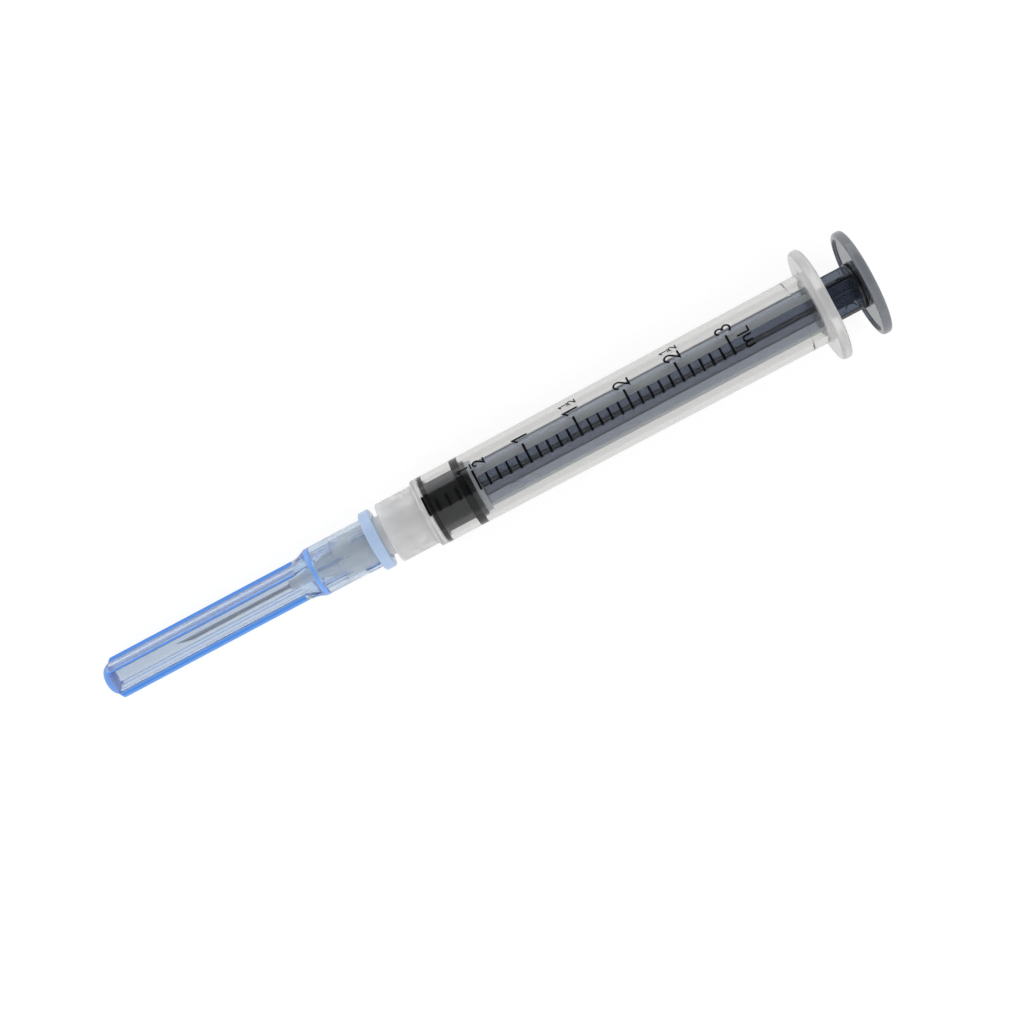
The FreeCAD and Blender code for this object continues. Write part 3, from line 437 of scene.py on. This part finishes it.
# Screen-printed ink: dense black with a faintly grainy, half-gloss surface
def screenInk():
    look = {
        "ink": "#050608", "thin": "#0c0e12", "roughness": 0.42, "gloss": 0.08,
        "grainSize": 0.125,    # millimetres
        "bump": 0.3, "bumpHeight": 0.00001,
    }
    material, tree, place = newMaterial("inkBlackScreenPrinted")
    grain = addNode(tree, "ShaderNodeTexNoise", {"Vector": place, "Scale": 1 / look["grainSize"], "Detail": 4.0})
    colour = addNode(tree, "ShaderNodeMix", {
        "Factor": grain.outputs["Fac"], "A": linear(look["ink"]), "B": linear(look["thin"])}, data_type="RGBA")
    return finishMaterial(material, look, colour.outputs["Result"], None, grain.outputs["Fac"], {
        "Specular IOR Level": look["gloss"]})


finishes = {
    "barrel": clearPolypropylene(), "plunger_rod": smokePolystyrene(), "stopper": siliconedRubber(),
    "needle_hub": hubPolypropylene(), "cannula": drawnSteel(), "glue_bead": curedAdhesive(),
    "needle_sheath": bluePolypropylene(),
}
for nodeName, finish in finishes.items():
    mesh = frame["nodes"][nodeName].data
    mesh.materials.clear()
    mesh.materials.append(finish)
print("materials made")

# The barrel: one moulding with the tube, the finger flange, the luer tip and the collar round it
barrelSizes = {
    "bore": 4.465, "front": 5.15, "rear": 5.35, "shoulder": -0.93, "length": 62.8,
    "tip": -9.15, "tipRadius": 1.975, "tipFoot": 2.2126, "lumen": 1.1,
    "collarMouth": -6.8, "collarFloor": -1.23, "collarRoot": 4.0, "collarOutside": 4.59,
    "threadDepth": 0.5, "threadCrest": 0.2, "threadFoot": 0.45, "threadPitch": 2.5, "threadLead": 5.0,
    "threadStart": -4.4,                        # place of a ridge at the top
    "threadMouth": 0.25, "threadFloor": 0.2, "threadFade": 0.5, "threadSteps": 56,
    "flangeReach": 8.525, "flangeFlats": 7.95, "flangeFront": 61.25,
    "flatDepth": 1.5, "flatSharpness": 60,      # how deep the rim follows its flats, and how crisply they end
    "bead": 58.65, "beadHalf": 0.45, "beadHeight": 0.12, "mouth": 4.75, "mouthFront": 61.5, "mouthCone": 0.285,
    "segments": 224,
    "round": {
        "lumen": 0.08, "tip": 0.15, "collarFloor": 0.12, "collarMouth": 0.14, "collarEdge": 0.16, "collarFoot": 0.2,
        "shoulder": 0.22, "flangeFoot": 0.45, "flange": 0.55, "mouth": 0.12, "bead": 0.3, "bore": 0.15,
    },
}


# Outside radius of the tube, which widens a little towards the flange
def tubeOutside(x):
    share = (x - barrelSizes["shoulder"]) / (barrelSizes["length"] - barrelSizes["shoulder"])
    return barrelSizes["front"] + (barrelSizes["rear"] - barrelSizes["front"]) * share


# Radius at a turn: the flange's two flats, and the double thread inside the collar
def barrelReach(x, r, turn):
    s = barrelSizes
    if r > s["flangeReach"] - s["flatDepth"]:
        flat = s["flangeFlats"] / max(abs(math.sin(turn)), 0.001)
        return easedLimit(s["flangeReach"], flat, s["flatSharpness"]) - (s["flangeReach"] - r)
    first, last = s["collarMouth"] + s["threadMouth"], s["collarFloor"] - s["threadFloor"]
    if math.isclose(r, s["collarRoot"], abs_tol=0.001) and first < x < last:
        centre = s["threadStart"] + s["threadLead"] * (turn - math.pi / 2) / (2 * math.pi)
        offset = abs((x - centre + s["threadPitch"] / 2) % s["threadPitch"] - s["threadPitch"] / 2)
        height = (s["threadFoot"] - offset) / (s["threadFoot"] - s["threadCrest"])
        fade = min(1, (x - first) / s["threadFade"], (last - x) / s["threadFade"])
        return r - s["threadDepth"] * min(1, max(0, height)) * fade
    return r


def barrelProfile():
    s, soft = barrelSizes, barrelSizes["round"]
    corners = [
        (s["tip"], s["lumen"], soft["lumen"]), (s["tip"], s["tipRadius"], soft["tip"]),
        (s["collarFloor"], s["tipFoot"], soft["tip"]), (s["collarFloor"], s["collarRoot"], soft["collarFloor"]),
        (s["collarMouth"], s["collarRoot"], soft["collarMouth"]),
        (s["collarMouth"], s["collarOutside"], soft["collarEdge"]),
        (s["shoulder"], s["collarOutside"], soft["collarFoot"]), (s["shoulder"], s["front"], soft["shoulder"]),
        (s["flangeFront"], tubeOutside(s["flangeFront"]), soft["flangeFoot"]),
        (s["flangeFront"], s["flangeReach"], soft["flange"]), (s["length"], s["flangeReach"], soft["flange"]),
        (s["length"], s["mouth"], soft["mouth"]), (s["mouthFront"], s["mouth"], 0),
        (s["mouthFront"] - s["mouthCone"], s["bore"], 0), (s["bead"] + s["beadHalf"], s["bore"], 0),
        (s["bead"], s["bore"] - s["beadHeight"], soft["bead"]), (s["bead"] - s["beadHalf"], s["bore"], 0),
        (0.0, s["bore"], soft["bore"]), (0.0, s["lumen"], soft["bore"]),
    ]
    points = []
    for point in easedProfile(corners):
        # The collar's inside is cut finely for its thread
        atRoot = math.isclose(point[1], s["collarRoot"], abs_tol=0.001)
        if points and atRoot and points[-1][0] - point[0] > s["threadPitch"]:
            first, last, steps = points[-1][0], point[0], s["threadSteps"]
            points += [(first + (last - first) * step / steps, s["collarRoot"]) for step in range(1, steps)]
        points.append(point)
    return points


barrelMesh = turnedMesh("barrelMoulding", barrelProfile(), evenTurns(barrelSizes["segments"]), True, barrelReach)
addPiece("barrelMoulding", barrelMesh, finishes["barrel"], "barrel", "barrel")
print("barrel made")

# The stopper: rubber with two sealing rings outside and a pocket for the rod's head
stopperSizes = {
    "front": 0.15, "length": 7.05, "ring": 4.49, "waist": 3.85, "rim": 4.25,
    "frontRing": 0.75, "rearRing": 1.25, "rearRim": 0.6,
    "neck": 1.85, "head": 2.65, "neckLength": 1.95, "headLength": 3.1, "segments": 160,
    "round": {"front": 0.14, "ring": 0.08, "waist": 0.4, "rimFoot": 0.05, "rim": 0.15, "neck": 0.1},
}


def stopperProfile():
    s, soft = stopperSizes, stopperSizes["round"]
    front, rear = s["front"], s["front"] + s["length"]
    rimFront = rear - s["rearRim"]
    rearRing = rimFront - s["rearRing"]
    headRear = rear - s["neckLength"]
    corners = [
        (front, 0, 0), (front, s["ring"], soft["front"]), (front + s["frontRing"], s["ring"], soft["ring"]),
        (front + s["frontRing"], s["waist"], soft["waist"]), (rearRing, s["waist"], soft["waist"]),
        (rearRing, s["ring"], soft["ring"]), (rimFront, s["ring"], soft["ring"]),
        (rimFront, s["rim"], soft["rimFoot"]), (rear, s["rim"], soft["rim"]), (rear, s["neck"], soft["neck"]),
        (headRear, s["neck"], 0), (headRear, s["head"], 0),
        (headRear - s["headLength"], s["head"], 0), (headRear - s["headLength"], 0, 0),
    ]
    return easedProfile(corners)


stopperMesh = turnedMesh("stopperRubber", stopperProfile(), evenTurns(stopperSizes["segments"]), False)
addPiece("stopperRubber", stopperMesh, finishes["stopper"], "plunger", "stopper")
print("stopper made")


# The angles at which the plunger rod is cut: close together on the fins' edges, wider along their sides
def rodTurns():
    s = rodSizes
    edgeShares = (0, 0.25, 0.5, 0.68, 0.8, 0.88, 0.94, 0.98, 1.0, 1.03, 1.08)
    sideReaches = (3.3, 2.9, 2.5, 2.1, 1.7, 1.4, 1.2, 1.05, 0.95, 0.88, 0.83)
    filletTurns = (40.5, 42.0, 43.5)    # degrees
    corner = math.asin(s["finHalf"] / s["fin"])
    eighth = sorted([corner * share for share in edgeShares]
                    + [math.asin(s["finHalf"] / reach) for reach in sideReaches]
                    + [math.radians(turn) for turn in filletTurns])
    quarter = eighth + [math.pi / 4] + [math.pi / 2 - turn for turn in reversed(eighth[1:])]
    offset = math.pi / 2 - math.radians(s["roll"])
    return [offset + turn + math.pi / 2 * side for side in range(4) for turn in quarter]


# The least angle between a turn and the middle of a fin, of the rod or of the sheath
def offFin(turn):
    offset = math.pi / 2 - math.radians(rodSizes["roll"])
    return abs((turn - offset + math.pi / 4) % (math.pi / 2) - math.pi / 4)


# Radius of the crossed fins at a turn: rounded edges outside, small fillets where they meet
def finReach(turn):
    s = rodSizes
    local = offFin(turn)
    edge = easedLimit(s["fin"], s["finHalf"] / max(math.sin(local), 0.0001), s["edgeSharpness"])
    if edge >= s["filletSpan"]:
        return edge
    corner = s["finHalf"] * math.sqrt(2)
    valley = corner + s["root"] * (math.sqrt(2) - 1)
    filleted = valley + s["filletBend"] * ((math.pi / 4 - local) * corner) ** 2 / s["root"]
    return max(edge, min(filleted, edge * s["filletMost"]))


def rodReach(x, r, turn):
    return finReach(turn) if r == rodSizes["fin"] else r


def rodProfile():
    s, soft = rodSizes, rodSizes["round"]
    headRear = s["head"] + s["headLength"]
    discFront = headRear + s["neckLength"]
    discRear = discFront + s["disc"]
    recess = s["thumbFront"] + s["recess"]
    front = [
        (s["head"], 0, 0), (s["head"], s["headRadius"], soft["head"]), (headRear, s["headRadius"], soft["headRear"]),
        (headRear, s["neckRadius"], soft["neck"]), (discFront, s["neckRadius"], soft["discFoot"]),
        (discFront, s["discRadius"], soft["discFront"]), (discRear, s["discRadius"], soft["discRear"]),
        (discRear, 0, 0),
    ]
    rear = [
        (s["boss"], 0, 0), (s["boss"], s["bossRadius"], soft["boss"]), (recess, s["bossRadius"], soft["bossFoot"]),
        (recess, s["recessRadius"], soft["recess"]), (s["thumbFront"], s["recessRadius"], soft["lip"]),
        (s["thumbFront"], s["thumbRadius"], soft["thumb"]), (s["thumbRear"], s["thumbRadius"], soft["thumb"]),
        (s["thumbRear"], 0, 0),
    ]
    steps = s["lengths"]
    fins = [(discRear + (s["boss"] - discRear) * step / steps, s["fin"]) for step in range(steps + 1)]
    return easedProfile(front)[:-1] + fins + easedProfile(rear)[1:]


rodMesh = turnedMesh("plungerRod", rodProfile(), rodTurns(), False, rodReach)
addPiece("plungerRod", rodMesh, finishes["plunger_rod"], "plunger", "plunger_rod")
print("plunger rod made")

# The needle's sheath: a closed tube with four fins, and a sleeve with four short ribs outside and splines inside
sheathSizes = {
    "mouth": -7.9, "rim": 1.7, "rimRadius": 4.546,
    "sleeveRadius": 3.696, "sleeveFront": -18.8, "flare": 2.6, "tubeRadius": 2.5, "tip": -52.598,
    "tubeBore": 1.85, "boreEnd": -51.6, "floor": -18.1,
    "stepRadius": 2.946, "step": -15.0, "sleeveBore": 3.096, "leadIn": 0.25,
    "finTop": 3.3, "finHalf": 0.35, "finStart": -51.5, "finSlope": 0.6, "finFoot": 2.7,
    "ribTop": 4.046, "ribHalf": 0.5, "ribStart": -12.0, "ribSlope": 0.3,
    "finSharpness": 60,
    "splineCrest": 2.666, "splineEnd": -12.9, "splineCount": 8,
    "splineHalf": 3.7, "splineFlank": 0.6,      # degrees
    "margin": 0.1,                              # play in finding whether a point lies inside or outside
    "round": {
        "tip": 1.68, "flareFront": 1.2, "flareRear": 0.6, "rimFoot": 0.12, "rim": 0.32, "mouth": 0.04,
        "leadIn": 0.05, "step": 0.04, "floor": 0.15, "boreEnd": 0.5,
    },
    "finTurns": (0.0, 2.5, 4.6, 5.4, 5.8, 6.09, 6.3, 6.7, 7.1, 7.45, 7.77, 8.05, 8.3, 8.8, 9.8, 11.5),
    "splineTurns": (0.0, 1.8, 3.0, 3.4, 3.7, 4.0, 4.5, 5.5),
    "widestTurn": 3.0,                          # degrees between two cuts elsewhere
    "finCuts": (-51.52, -51.49, -51.4, -51.3, -51.2, -51.1, -51.0, -50.9, -50.8, -30.0),
    "ribCuts": (-12.02, -11.99, -11.9, -11.8, -11.7, -11.6),
    "splineCuts": 6, "splineCut": 0.35,
}


# Turns of the fins and of the splines inside, with more cuts where their sides stand
def sheathTurns():
    s = sheathSizes
    found = set()
    for first, count, turns in ((90 - rodSizes["roll"], 4, s["finTurns"]), (90, s["splineCount"], s["splineTurns"])):
        for middle in range(count):
            found |= {round(first + 360 / count * middle + side * turn, 3) % 360 for turn in turns for side in (-1, 1)}
    found = sorted(found)
    turns = []
    for here, there in zip(found, found[1:] + [found[0] + 360]):
        count = max(1, round((there - here) / s["widestTurn"]))
        turns += [here + (there - here) * step / count for step in range(count)]
    return [math.radians(turn) for turn in turns]


# Height of a rib's outline: nought before its start, then up its slope to its top
def ribHeight(x, start, slope, foot, top):
    if x < start:
        return 0.0
    share = min(1.0, (x - start) / slope)
    return foot + (top - foot) * math.sin(share * math.pi / 2)


# Radius at a turn inside the sleeve, where the splines stand
def splineReach(x, r, turn):
    s = sheathSizes
    if not s["floor"] - s["margin"] < x < s["splineEnd"]:
        return r
    between = 360 / s["splineCount"]
    apart = math.degrees(turn - math.pi / 2) % between
    apart = min(apart, between - apart)
    crest = s["splineCrest"]
    if x > s["step"]:
        crest += (s["sleeveBore"] - crest) * (x - s["step"]) / (s["splineEnd"] - s["step"])
    share = min(1.0, max(0.0, (apart - s["splineHalf"]) / s["splineFlank"] + 0.5))
    return min(r, crest + (r - crest) * share)


# Radius at a turn: splines inside, fins and short ribs outside
def sheathReach(x, r, turn):
    s = sheathSizes
    for start, bore in (("boreEnd", s["tubeBore"]), ("floor", s["sleeveBore"] + s["leadIn"])):
        if x > s[start] - s["margin"] and r < bore + s["margin"]:
            return splineReach(x, r, turn)
    local = offFin(turn)
    reach = r
    for name, foot, end in (("fin", s["finFoot"], s["sleeveFront"]),
                            ("rib", s["sleeveRadius"], s["mouth"] - s["rim"] + s["margin"])):
        if x > end:
            continue
        height = ribHeight(x, s[name + "Start"], s[name + "Slope"], foot, s[name + "Top"])
        if height > r:
            flank = s[name + "Half"] / max(math.sin(local), 0.0001)
            reach = max(reach, easedLimit(height, flank, s["finSharpness"]))
    return reach


def sheathProfile():
    s, soft = sheathSizes, sheathSizes["round"]
    rimRear, rimFront = s["mouth"], s["mouth"] - s["rim"]
    corners = [
        (s["tip"], 0, 0), (s["tip"], s["tubeRadius"], soft["tip"]),
        (s["sleeveFront"] - s["flare"], s["tubeRadius"], soft["flareFront"]),
        (s["sleeveFront"], s["sleeveRadius"], soft["flareRear"]), (rimFront, s["sleeveRadius"], soft["rimFoot"]),
        (rimFront, s["rimRadius"], soft["rim"]), (rimRear, s["rimRadius"], soft["rim"]),
        (rimRear, s["sleeveBore"] + s["leadIn"], soft["mouth"]),
        (rimRear - s["leadIn"], s["sleeveBore"], soft["leadIn"]), (s["step"], s["sleeveBore"], soft["step"]),
        (s["step"], s["stepRadius"], soft["step"]), (s["floor"], s["stepRadius"], soft["step"]),
        (s["floor"], s["tubeBore"], soft["floor"]), (s["boreEnd"], s["tubeBore"], soft["boreEnd"]),
        (s["boreEnd"], 0, 0),
    ]
    points = []
    for there in easedProfile(corners):
        if points:
            here = points[-1]
            for cut in s["finCuts"] + s["ribCuts"]:     # outside, where the profile runs rearward
                if here[0] < cut < there[0]:
                    share = (cut - here[0]) / (there[0] - here[0])
                    points.append((cut, here[1] + (there[1] - here[1]) * share))
            if here[0] > s["splineEnd"] > there[0]:     # inside, where it runs forward
                points += [(s["splineEnd"] - s["splineCut"] * step, s["sleeveBore"])
                           for step in range(s["splineCuts"])]
        points.append(there)
    return points


sheathMesh = turnedMesh("needleSheath", sheathProfile(), sheathTurns(), False, sheathReach)
addPiece("needleSheath", sheathMesh, finishes["needle_sheath"], "sheath", "needle_sheath")
print("sheath made")

# The printed scale: lines, numerals, fractions and the unit, as thin ribbons of ink wrapped on the tube
printSizes = {
    "division": 1.5966, "divisions": 30, "longEvery": 5, "lineWidth": 0.34, "zeroWidth": 0.42,
    "low": -9.4, "shortHigh": 14.0, "longHigh": 27.0,     # degrees round the barrel from the top, as each start is
    "sunk": 0.01, "proud": 0.012, "step": 0.12, "ragged": 0.016, "seed": 30,
    "endLength": 0.28, "endNarrowing": 0.2,               # shares of a stroke's width
    "numerals": ((10, "1"), (15, "1"), (20, "2"), (25, "2"), (30, "3")),
    "numeral": {"height": 2.2, "width": 1.2, "stroke": 0.3, "start": 30.2},
    "firstFraction": {"height": 1.65, "width": 0.8, "stroke": 0.28, "start": 29.0, "gap": 0.42, "at": (5,)},
    "fraction": {"height": 1.0, "width": 0.85, "stroke": 0.2, "start": 49.5, "gap": 0.22, "at": (15, 25)},
    "bar": 0.8,                                           # a fraction's bar against its stroke
    "unitFoot": 51.05,
    "m": {"height": 1.2, "width": 1.55, "stroke": 0.26, "start": -6.5},
    "L": {"height": 1.75, "width": 0.75, "stroke": 0.26, "start": 15.5},
}


# Points on an ellipse arc, in degrees
def arcPoints(x, y, wide, high, first, last, count=14):
    turns = [math.radians(first + (last - first) * step / count) for step in range(count + 1)]
    return [(x + wide * math.cos(turn), y + high * math.sin(turn)) for turn in turns]


# Strokes of the numerals and letters in a box one wide and one high
strokesOf = {
    "1": [[(0.12, 0.74), (0.62, 1.0), (0.62, 0.0)]],
    "2": [arcPoints(0.5, 0.72, 0.46, 0.28, 170, -32) + [(0.42, 0.26), (0.0, 0.0), (1.0, 0.0)]],
    "3": [arcPoints(0.46, 0.75, 0.42, 0.25, 150, -90) + arcPoints(0.46, 0.25, 0.54, 0.25, 90, -150)],
    "m": [[(0.0, 0.0), (0.0, 1.0)],
          [(0.0, 0.6)] + arcPoints(0.24, 0.68, 0.24, 0.32, 150, 0) + [(0.48, 0.0)],
          [(0.48, 0.6)] + arcPoints(0.74, 0.68, 0.26, 0.32, 150, 0) + [(1.0, 0.0)]],
    "L": [[(0.0, 1.0), (0.0, 0.0), (1.0, 0.0)]],
}


# One inked stroke: a ribbon along points (place, arc from the top), both in millimetres, wrapped on the tube
def inkStroke(skin, points, width, chance):
    s = printSizes
    fine = [points[0]]
    for start, end in zip(points, points[1:]):
        count = max(1, round(math.dist(start, end) / s["step"]))
        fine += [(start[0] + (end[0] - start[0]) * step / count, start[1] + (end[1] - start[1]) * step / count)
                 for step in range(1, count + 1)]
    rows, alongs = [], []
    for index, point in enumerate(fine):
        before, after = fine[max(index - 1, 0)], fine[min(index + 1, len(fine) - 1)]
        along = Vector((after[0] - before[0], after[1] - before[1])).normalized()
        side = Vector((-along.y, along.x))
        if 0 < index < len(fine) - 1:
            arriving = Vector((point[0] - before[0], point[1] - before[1])).normalized()
            side = side / max(0.5, side.dot(Vector((-arriving.y, arriving.x))))     # sharp bends are cut off
        rows.append([Vector(point) + side * way * (width / 2 + chance.uniform(-1, 1) * s["ragged"])
                     for way in (1, -1)])
        alongs.append(along)
    # Both ends narrow and reach a little further, so that the ink looks rounded
    ends = []
    for (first, second), beyond in ((rows[0], -alongs[0]), (rows[-1], alongs[-1])):
        reach = beyond * (width * s["endLength"])
        ends.append([first * (1 - s["endNarrowing"]) + second * s["endNarrowing"] + reach,
                     first * s["endNarrowing"] + second * (1 - s["endNarrowing"]) + reach])
    rows = ends[:1] + rows + ends[1:]
    levels = []
    for lift in (-s["sunk"], s["proud"]):
        level = []
        for row in rows:
            line = []
            for x, arc in row:
                radius = tubeOutside(x) + lift
                turn = arc / tubeOutside(x)
                line.append(skin.verts.new((x, radius * math.sin(turn), radius * math.cos(turn))))
            level.append(line)
        levels.append(level)
    under, over = levels
    for index in range(len(rows) - 1):
        skin.faces.new((over[index][0], over[index][1], over[index + 1][1], over[index + 1][0]))
        skin.faces.new((under[index][1], under[index][0], under[index + 1][0], under[index + 1][1]))
        skin.faces.new((over[index][1], under[index][1], under[index + 1][1], over[index + 1][1]))
        skin.faces.new((under[index][0], over[index][0], over[index + 1][0], under[index + 1][0]))
    skin.faces.new((under[0][0], under[0][1], over[0][1], over[0][0]))
    skin.faces.new((under[-1][1], under[-1][0], over[-1][0], over[-1][1]))


# A numeral with its foot at a place along the barrel, its top towards the needle, reading round the barrel
def inkGlyph(skin, glyph, foot, style, chance):
    firstArc = math.radians(style["start"]) * tubeOutside(foot)
    for points in strokesOf[glyph]:
        places = [(foot - y * style["height"], firstArc + x * style["width"]) for x, y in points]
        inkStroke(skin, places, style["stroke"], chance)


# A half, written as a one, a bar and a two
def inkFraction(skin, middle, style, chance):
    inkGlyph(skin, "1", middle - style["gap"], style, chance)
    firstArc = math.radians(style["start"]) * tubeOutside(middle)
    bar = [(middle, firstArc), (middle, firstArc + style["width"])]
    inkStroke(skin, bar, style["stroke"] * printSizes["bar"], chance)
    inkGlyph(skin, "2", middle + style["gap"] + style["height"], style, chance)


def scaleMesh():
    s = printSizes
    chance = random.Random(s["seed"])
    skin = bmesh.new()
    for division in range(s["divisions"] + 1):
        x = division * s["division"]
        high = s["shortHigh"] if division % s["longEvery"] else s["longHigh"]
        width = s["lineWidth"] if division else s["zeroWidth"]
        inset = math.degrees(width / 2 / tubeOutside(x))
        ends = [math.radians(turn) * tubeOutside(x) for turn in (s["low"] + inset, high - inset)]
        inkStroke(skin, [(x, ends[0]), (x, ends[1])], width, chance)
    for division, numeral in s["numerals"]:
        inkGlyph(skin, numeral, division * s["division"] + s["numeral"]["height"] / 2, s["numeral"], chance)
    for style in (s["firstFraction"], s["fraction"]):
        for division in style["at"]:
            inkFraction(skin, division * s["division"], style, chance)
    for letter in ("m", "L"):
        inkGlyph(skin, letter, s["unitFoot"], s[letter], chance)
    return skinMesh("scalePrint", skin)


addPiece("scalePrint", scaleMesh(), screenInk(), "barrel")
print("scale printed")

# The table, the room's light and the camera, in metres, degrees, watts and pixels
stageLook = {
    "floor": "#f4f4f4", "side": 24.0,
    "openGlow": 0.86, "openShade": 0.2,       # seen beside the syringe
    # Seen through or mirrored in the syringe the paper glows less: a painted shadow, besides the real one in its
    # diffuse share
    "underGlow": 0.74, "underShade": 0.16,    # seen through it, where its shadow lies
}
lightPlan = {
    "ambient": 0.70, "backdrop": 0.9,
    "ceiling": 0.03, "through": 0.22,          # the room overhead, as mirrored and as seen through something clear
    "rise": (0.1, 0.35), "ends": (0.75, 0.5),  # where, upward and lengthwise, the backdrop gives way to it
    "key": {"lean": -49.0, "away": 0.8, "wide": 2.4, "deep": 1.16, "power": 4.8, "colour": "#fcfcff"},
    "fill": {"lean": 72.0, "away": 0.9, "wide": 2.4, "deep": 0.51, "power": 4.0, "colour": "#f6f9ff"},
}
cameraPlan = {
    "place": (0.00152, -0.0055, 0.3003), "turn": -27.921, "focal": 2076.6, "frame": 1024, "sensor": 36.0, "near": 0.01,
}
rayLimits = {
    "max_bounces": 32, "diffuse_bounces": 10, "glossy_bounces": 24, "transmission_bounces": 28,
    "transparent_max_bounces": 16,
}


# One where a ray comes from the camera, mirrored or through something clear, but never from a matt surface
def seenRays(tree):
    path = addNode(tree, "ShaderNodeLightPath").outputs
    first = addNode(tree, "ShaderNodeMath", {
        0: path["Is Camera Ray"], 1: path["Is Glossy Ray"]}, operation="MAXIMUM")
    either = addNode(tree, "ShaderNodeMath", {
        0: first.outputs["Value"], 1: path["Is Transmission Ray"]}, operation="MAXIMUM")
    unlit = addNode(tree, "ShaderNodeMath", {0: path["Diffuse Depth"], 1: 0.5}, operation="LESS_THAN")
    return addNode(tree, "ShaderNodeMath", {
        0: either.outputs["Value"], 1: unlit.outputs["Value"]}, operation="MULTIPLY").outputs["Value"]


# Matt white paper on the table: white as seen, with the shadow kept in its share of plain diffuse light. Seen through
# the syringe or mirrored in it, the paper glows less: a painted shadow.
def tablePaper():
    material = bpy.data.materials.new("paperWhiteMatt")
    material.use_nodes = True
    tree = material.node_tree
    tree.nodes.remove(tree.nodes["Principled BSDF"])
    plain = addNode(tree, "ShaderNodeBsdfDiffuse", {"Color": linear(stageLook["floor"])})
    direct = addNode(tree, "ShaderNodeLightPath").outputs["Is Camera Ray"]
    shade = addNode(tree, "ShaderNodeMapRange", {
        "Value": direct, "To Min": stageLook["underShade"], "To Max": stageLook["openShade"]})
    # Through the syringe or mirrored in it the glow is lower: a painted shadow
    light = addNode(tree, "ShaderNodeMapRange", {
        "Value": direct, "To Min": stageLook["underGlow"], "To Max": stageLook["openGlow"]})
    part = addNode(tree, "ShaderNodeBsdfDiffuse", {"Color": shade.outputs["Result"]})
    glow = addNode(tree, "ShaderNodeEmission", {"Strength": light.outputs["Result"]})
    both = addNode(tree, "ShaderNodeAddShader", {0: part.outputs[0], 1: glow.outputs[0]})
    pick = addNode(tree, "ShaderNodeMixShader", {0: seenRays(tree), 1: plain.outputs[0], 2: both.outputs[0]})
    fillInputs(tree, tree.nodes["Material Output"], {"Surface": pick.outputs[0]})
    return material


# Round the table stands a white backdrop; over it the room is dark between the two softboxes
def buildWorld():
    world = bpy.data.worlds.new("studio")
    bpy.context.scene.world = world
    world.use_nodes = True
    tree = world.node_tree
    toward = addNode(tree, "ShaderNodeTexCoord")
    parts = addNode(tree, "ShaderNodeSeparateXYZ", {"Vector": toward.outputs["Generated"]}).outputs
    length = addNode(tree, "ShaderNodeMath", {0: parts["X"]}, operation="ABSOLUTE")
    overhead, between = (
        addNode(tree, "ShaderNodeMapRange", {"Value": value, "From Min": white, "From Max": dark}).outputs["Result"]
        for value, (white, dark) in ((parts["Z"], lightPlan["rise"]), (length.outputs["Value"], lightPlan["ends"])))
    above = addNode(tree, "ShaderNodeMath", {0: overhead, 1: between}, operation="MULTIPLY")
    through = addNode(tree, "ShaderNodeLightPath").outputs["Is Transmission Ray"]
    ceiling = addNode(tree, "ShaderNodeMapRange", {
        "Value": through, "To Min": lightPlan["ceiling"], "To Max": lightPlan["through"]})
    seen = addNode(tree, "ShaderNodeMapRange", {
        "Value": above.outputs["Value"], "To Min": lightPlan["backdrop"], "To Max": ceiling.outputs["Result"]})
    strength = addNode(tree, "ShaderNodeMix", {
        "Factor": seenRays(tree), "A": lightPlan["ambient"], "B": seen.outputs["Result"]})
    fillInputs(tree, tree.nodes["Background"], {"Color": (1, 1, 1, 1), "Strength": strength.outputs["Result"]})


def buildTable():
    half = stageLook["side"] / 2
    mesh = bpy.data.meshes.new("table")
    mesh.from_pydata([(-half, -half, 0), (half, -half, 0), (half, half, 0), (-half, half, 0)], [], [(0, 1, 2, 3)])
    mesh.materials.append(tablePaper())
    table = bpy.data.objects.new("table", mesh)
    bpy.context.scene.collection.objects.link(table)


# Two long softboxes beside the syringe, leaning over it from the sides
def buildLights():
    for name in ("key", "fill"):
        plan = lightPlan[name]
        light = bpy.data.lights.new(name, "AREA")
        light.shape = "RECTANGLE"
        light.size, light.size_y = plan["wide"], plan["deep"]
        light.energy = plan["power"]
        light.color = linear(plan["colour"])[:3]
        lean = math.radians(plan["lean"])
        lamp = bpy.data.objects.new(name, light)
        lamp.location = (0, math.sin(lean) * plan["away"], math.cos(lean) * plan["away"])
        lamp.rotation_euler = (-lean, 0, 0)
        lamp.visible_camera = False
        bpy.context.scene.collection.objects.link(lamp)


def buildCamera():
    c = cameraPlan
    lens = bpy.data.cameras.new("view")
    lens.sensor_width = c["sensor"]
    lens.lens = c["focal"] / c["frame"] * c["sensor"]
    lens.clip_start = c["near"]
    camera = bpy.data.objects.new("view", lens)
    camera.location = c["place"]
    camera.rotation_euler = (0, 0, math.radians(c["turn"]))
    bpy.context.scene.collection.objects.link(camera)
    bpy.context.scene.camera = camera


buildTable()
buildWorld()
buildLights()
buildCamera()
scene = bpy.context.scene
scene.view_settings.view_transform = "Standard"
for limit, bounces in rayLimits.items():
    setattr(scene.cycles, limit, bounces)
print("stage, lights and camera set")

bpy.context.view_layer.update()
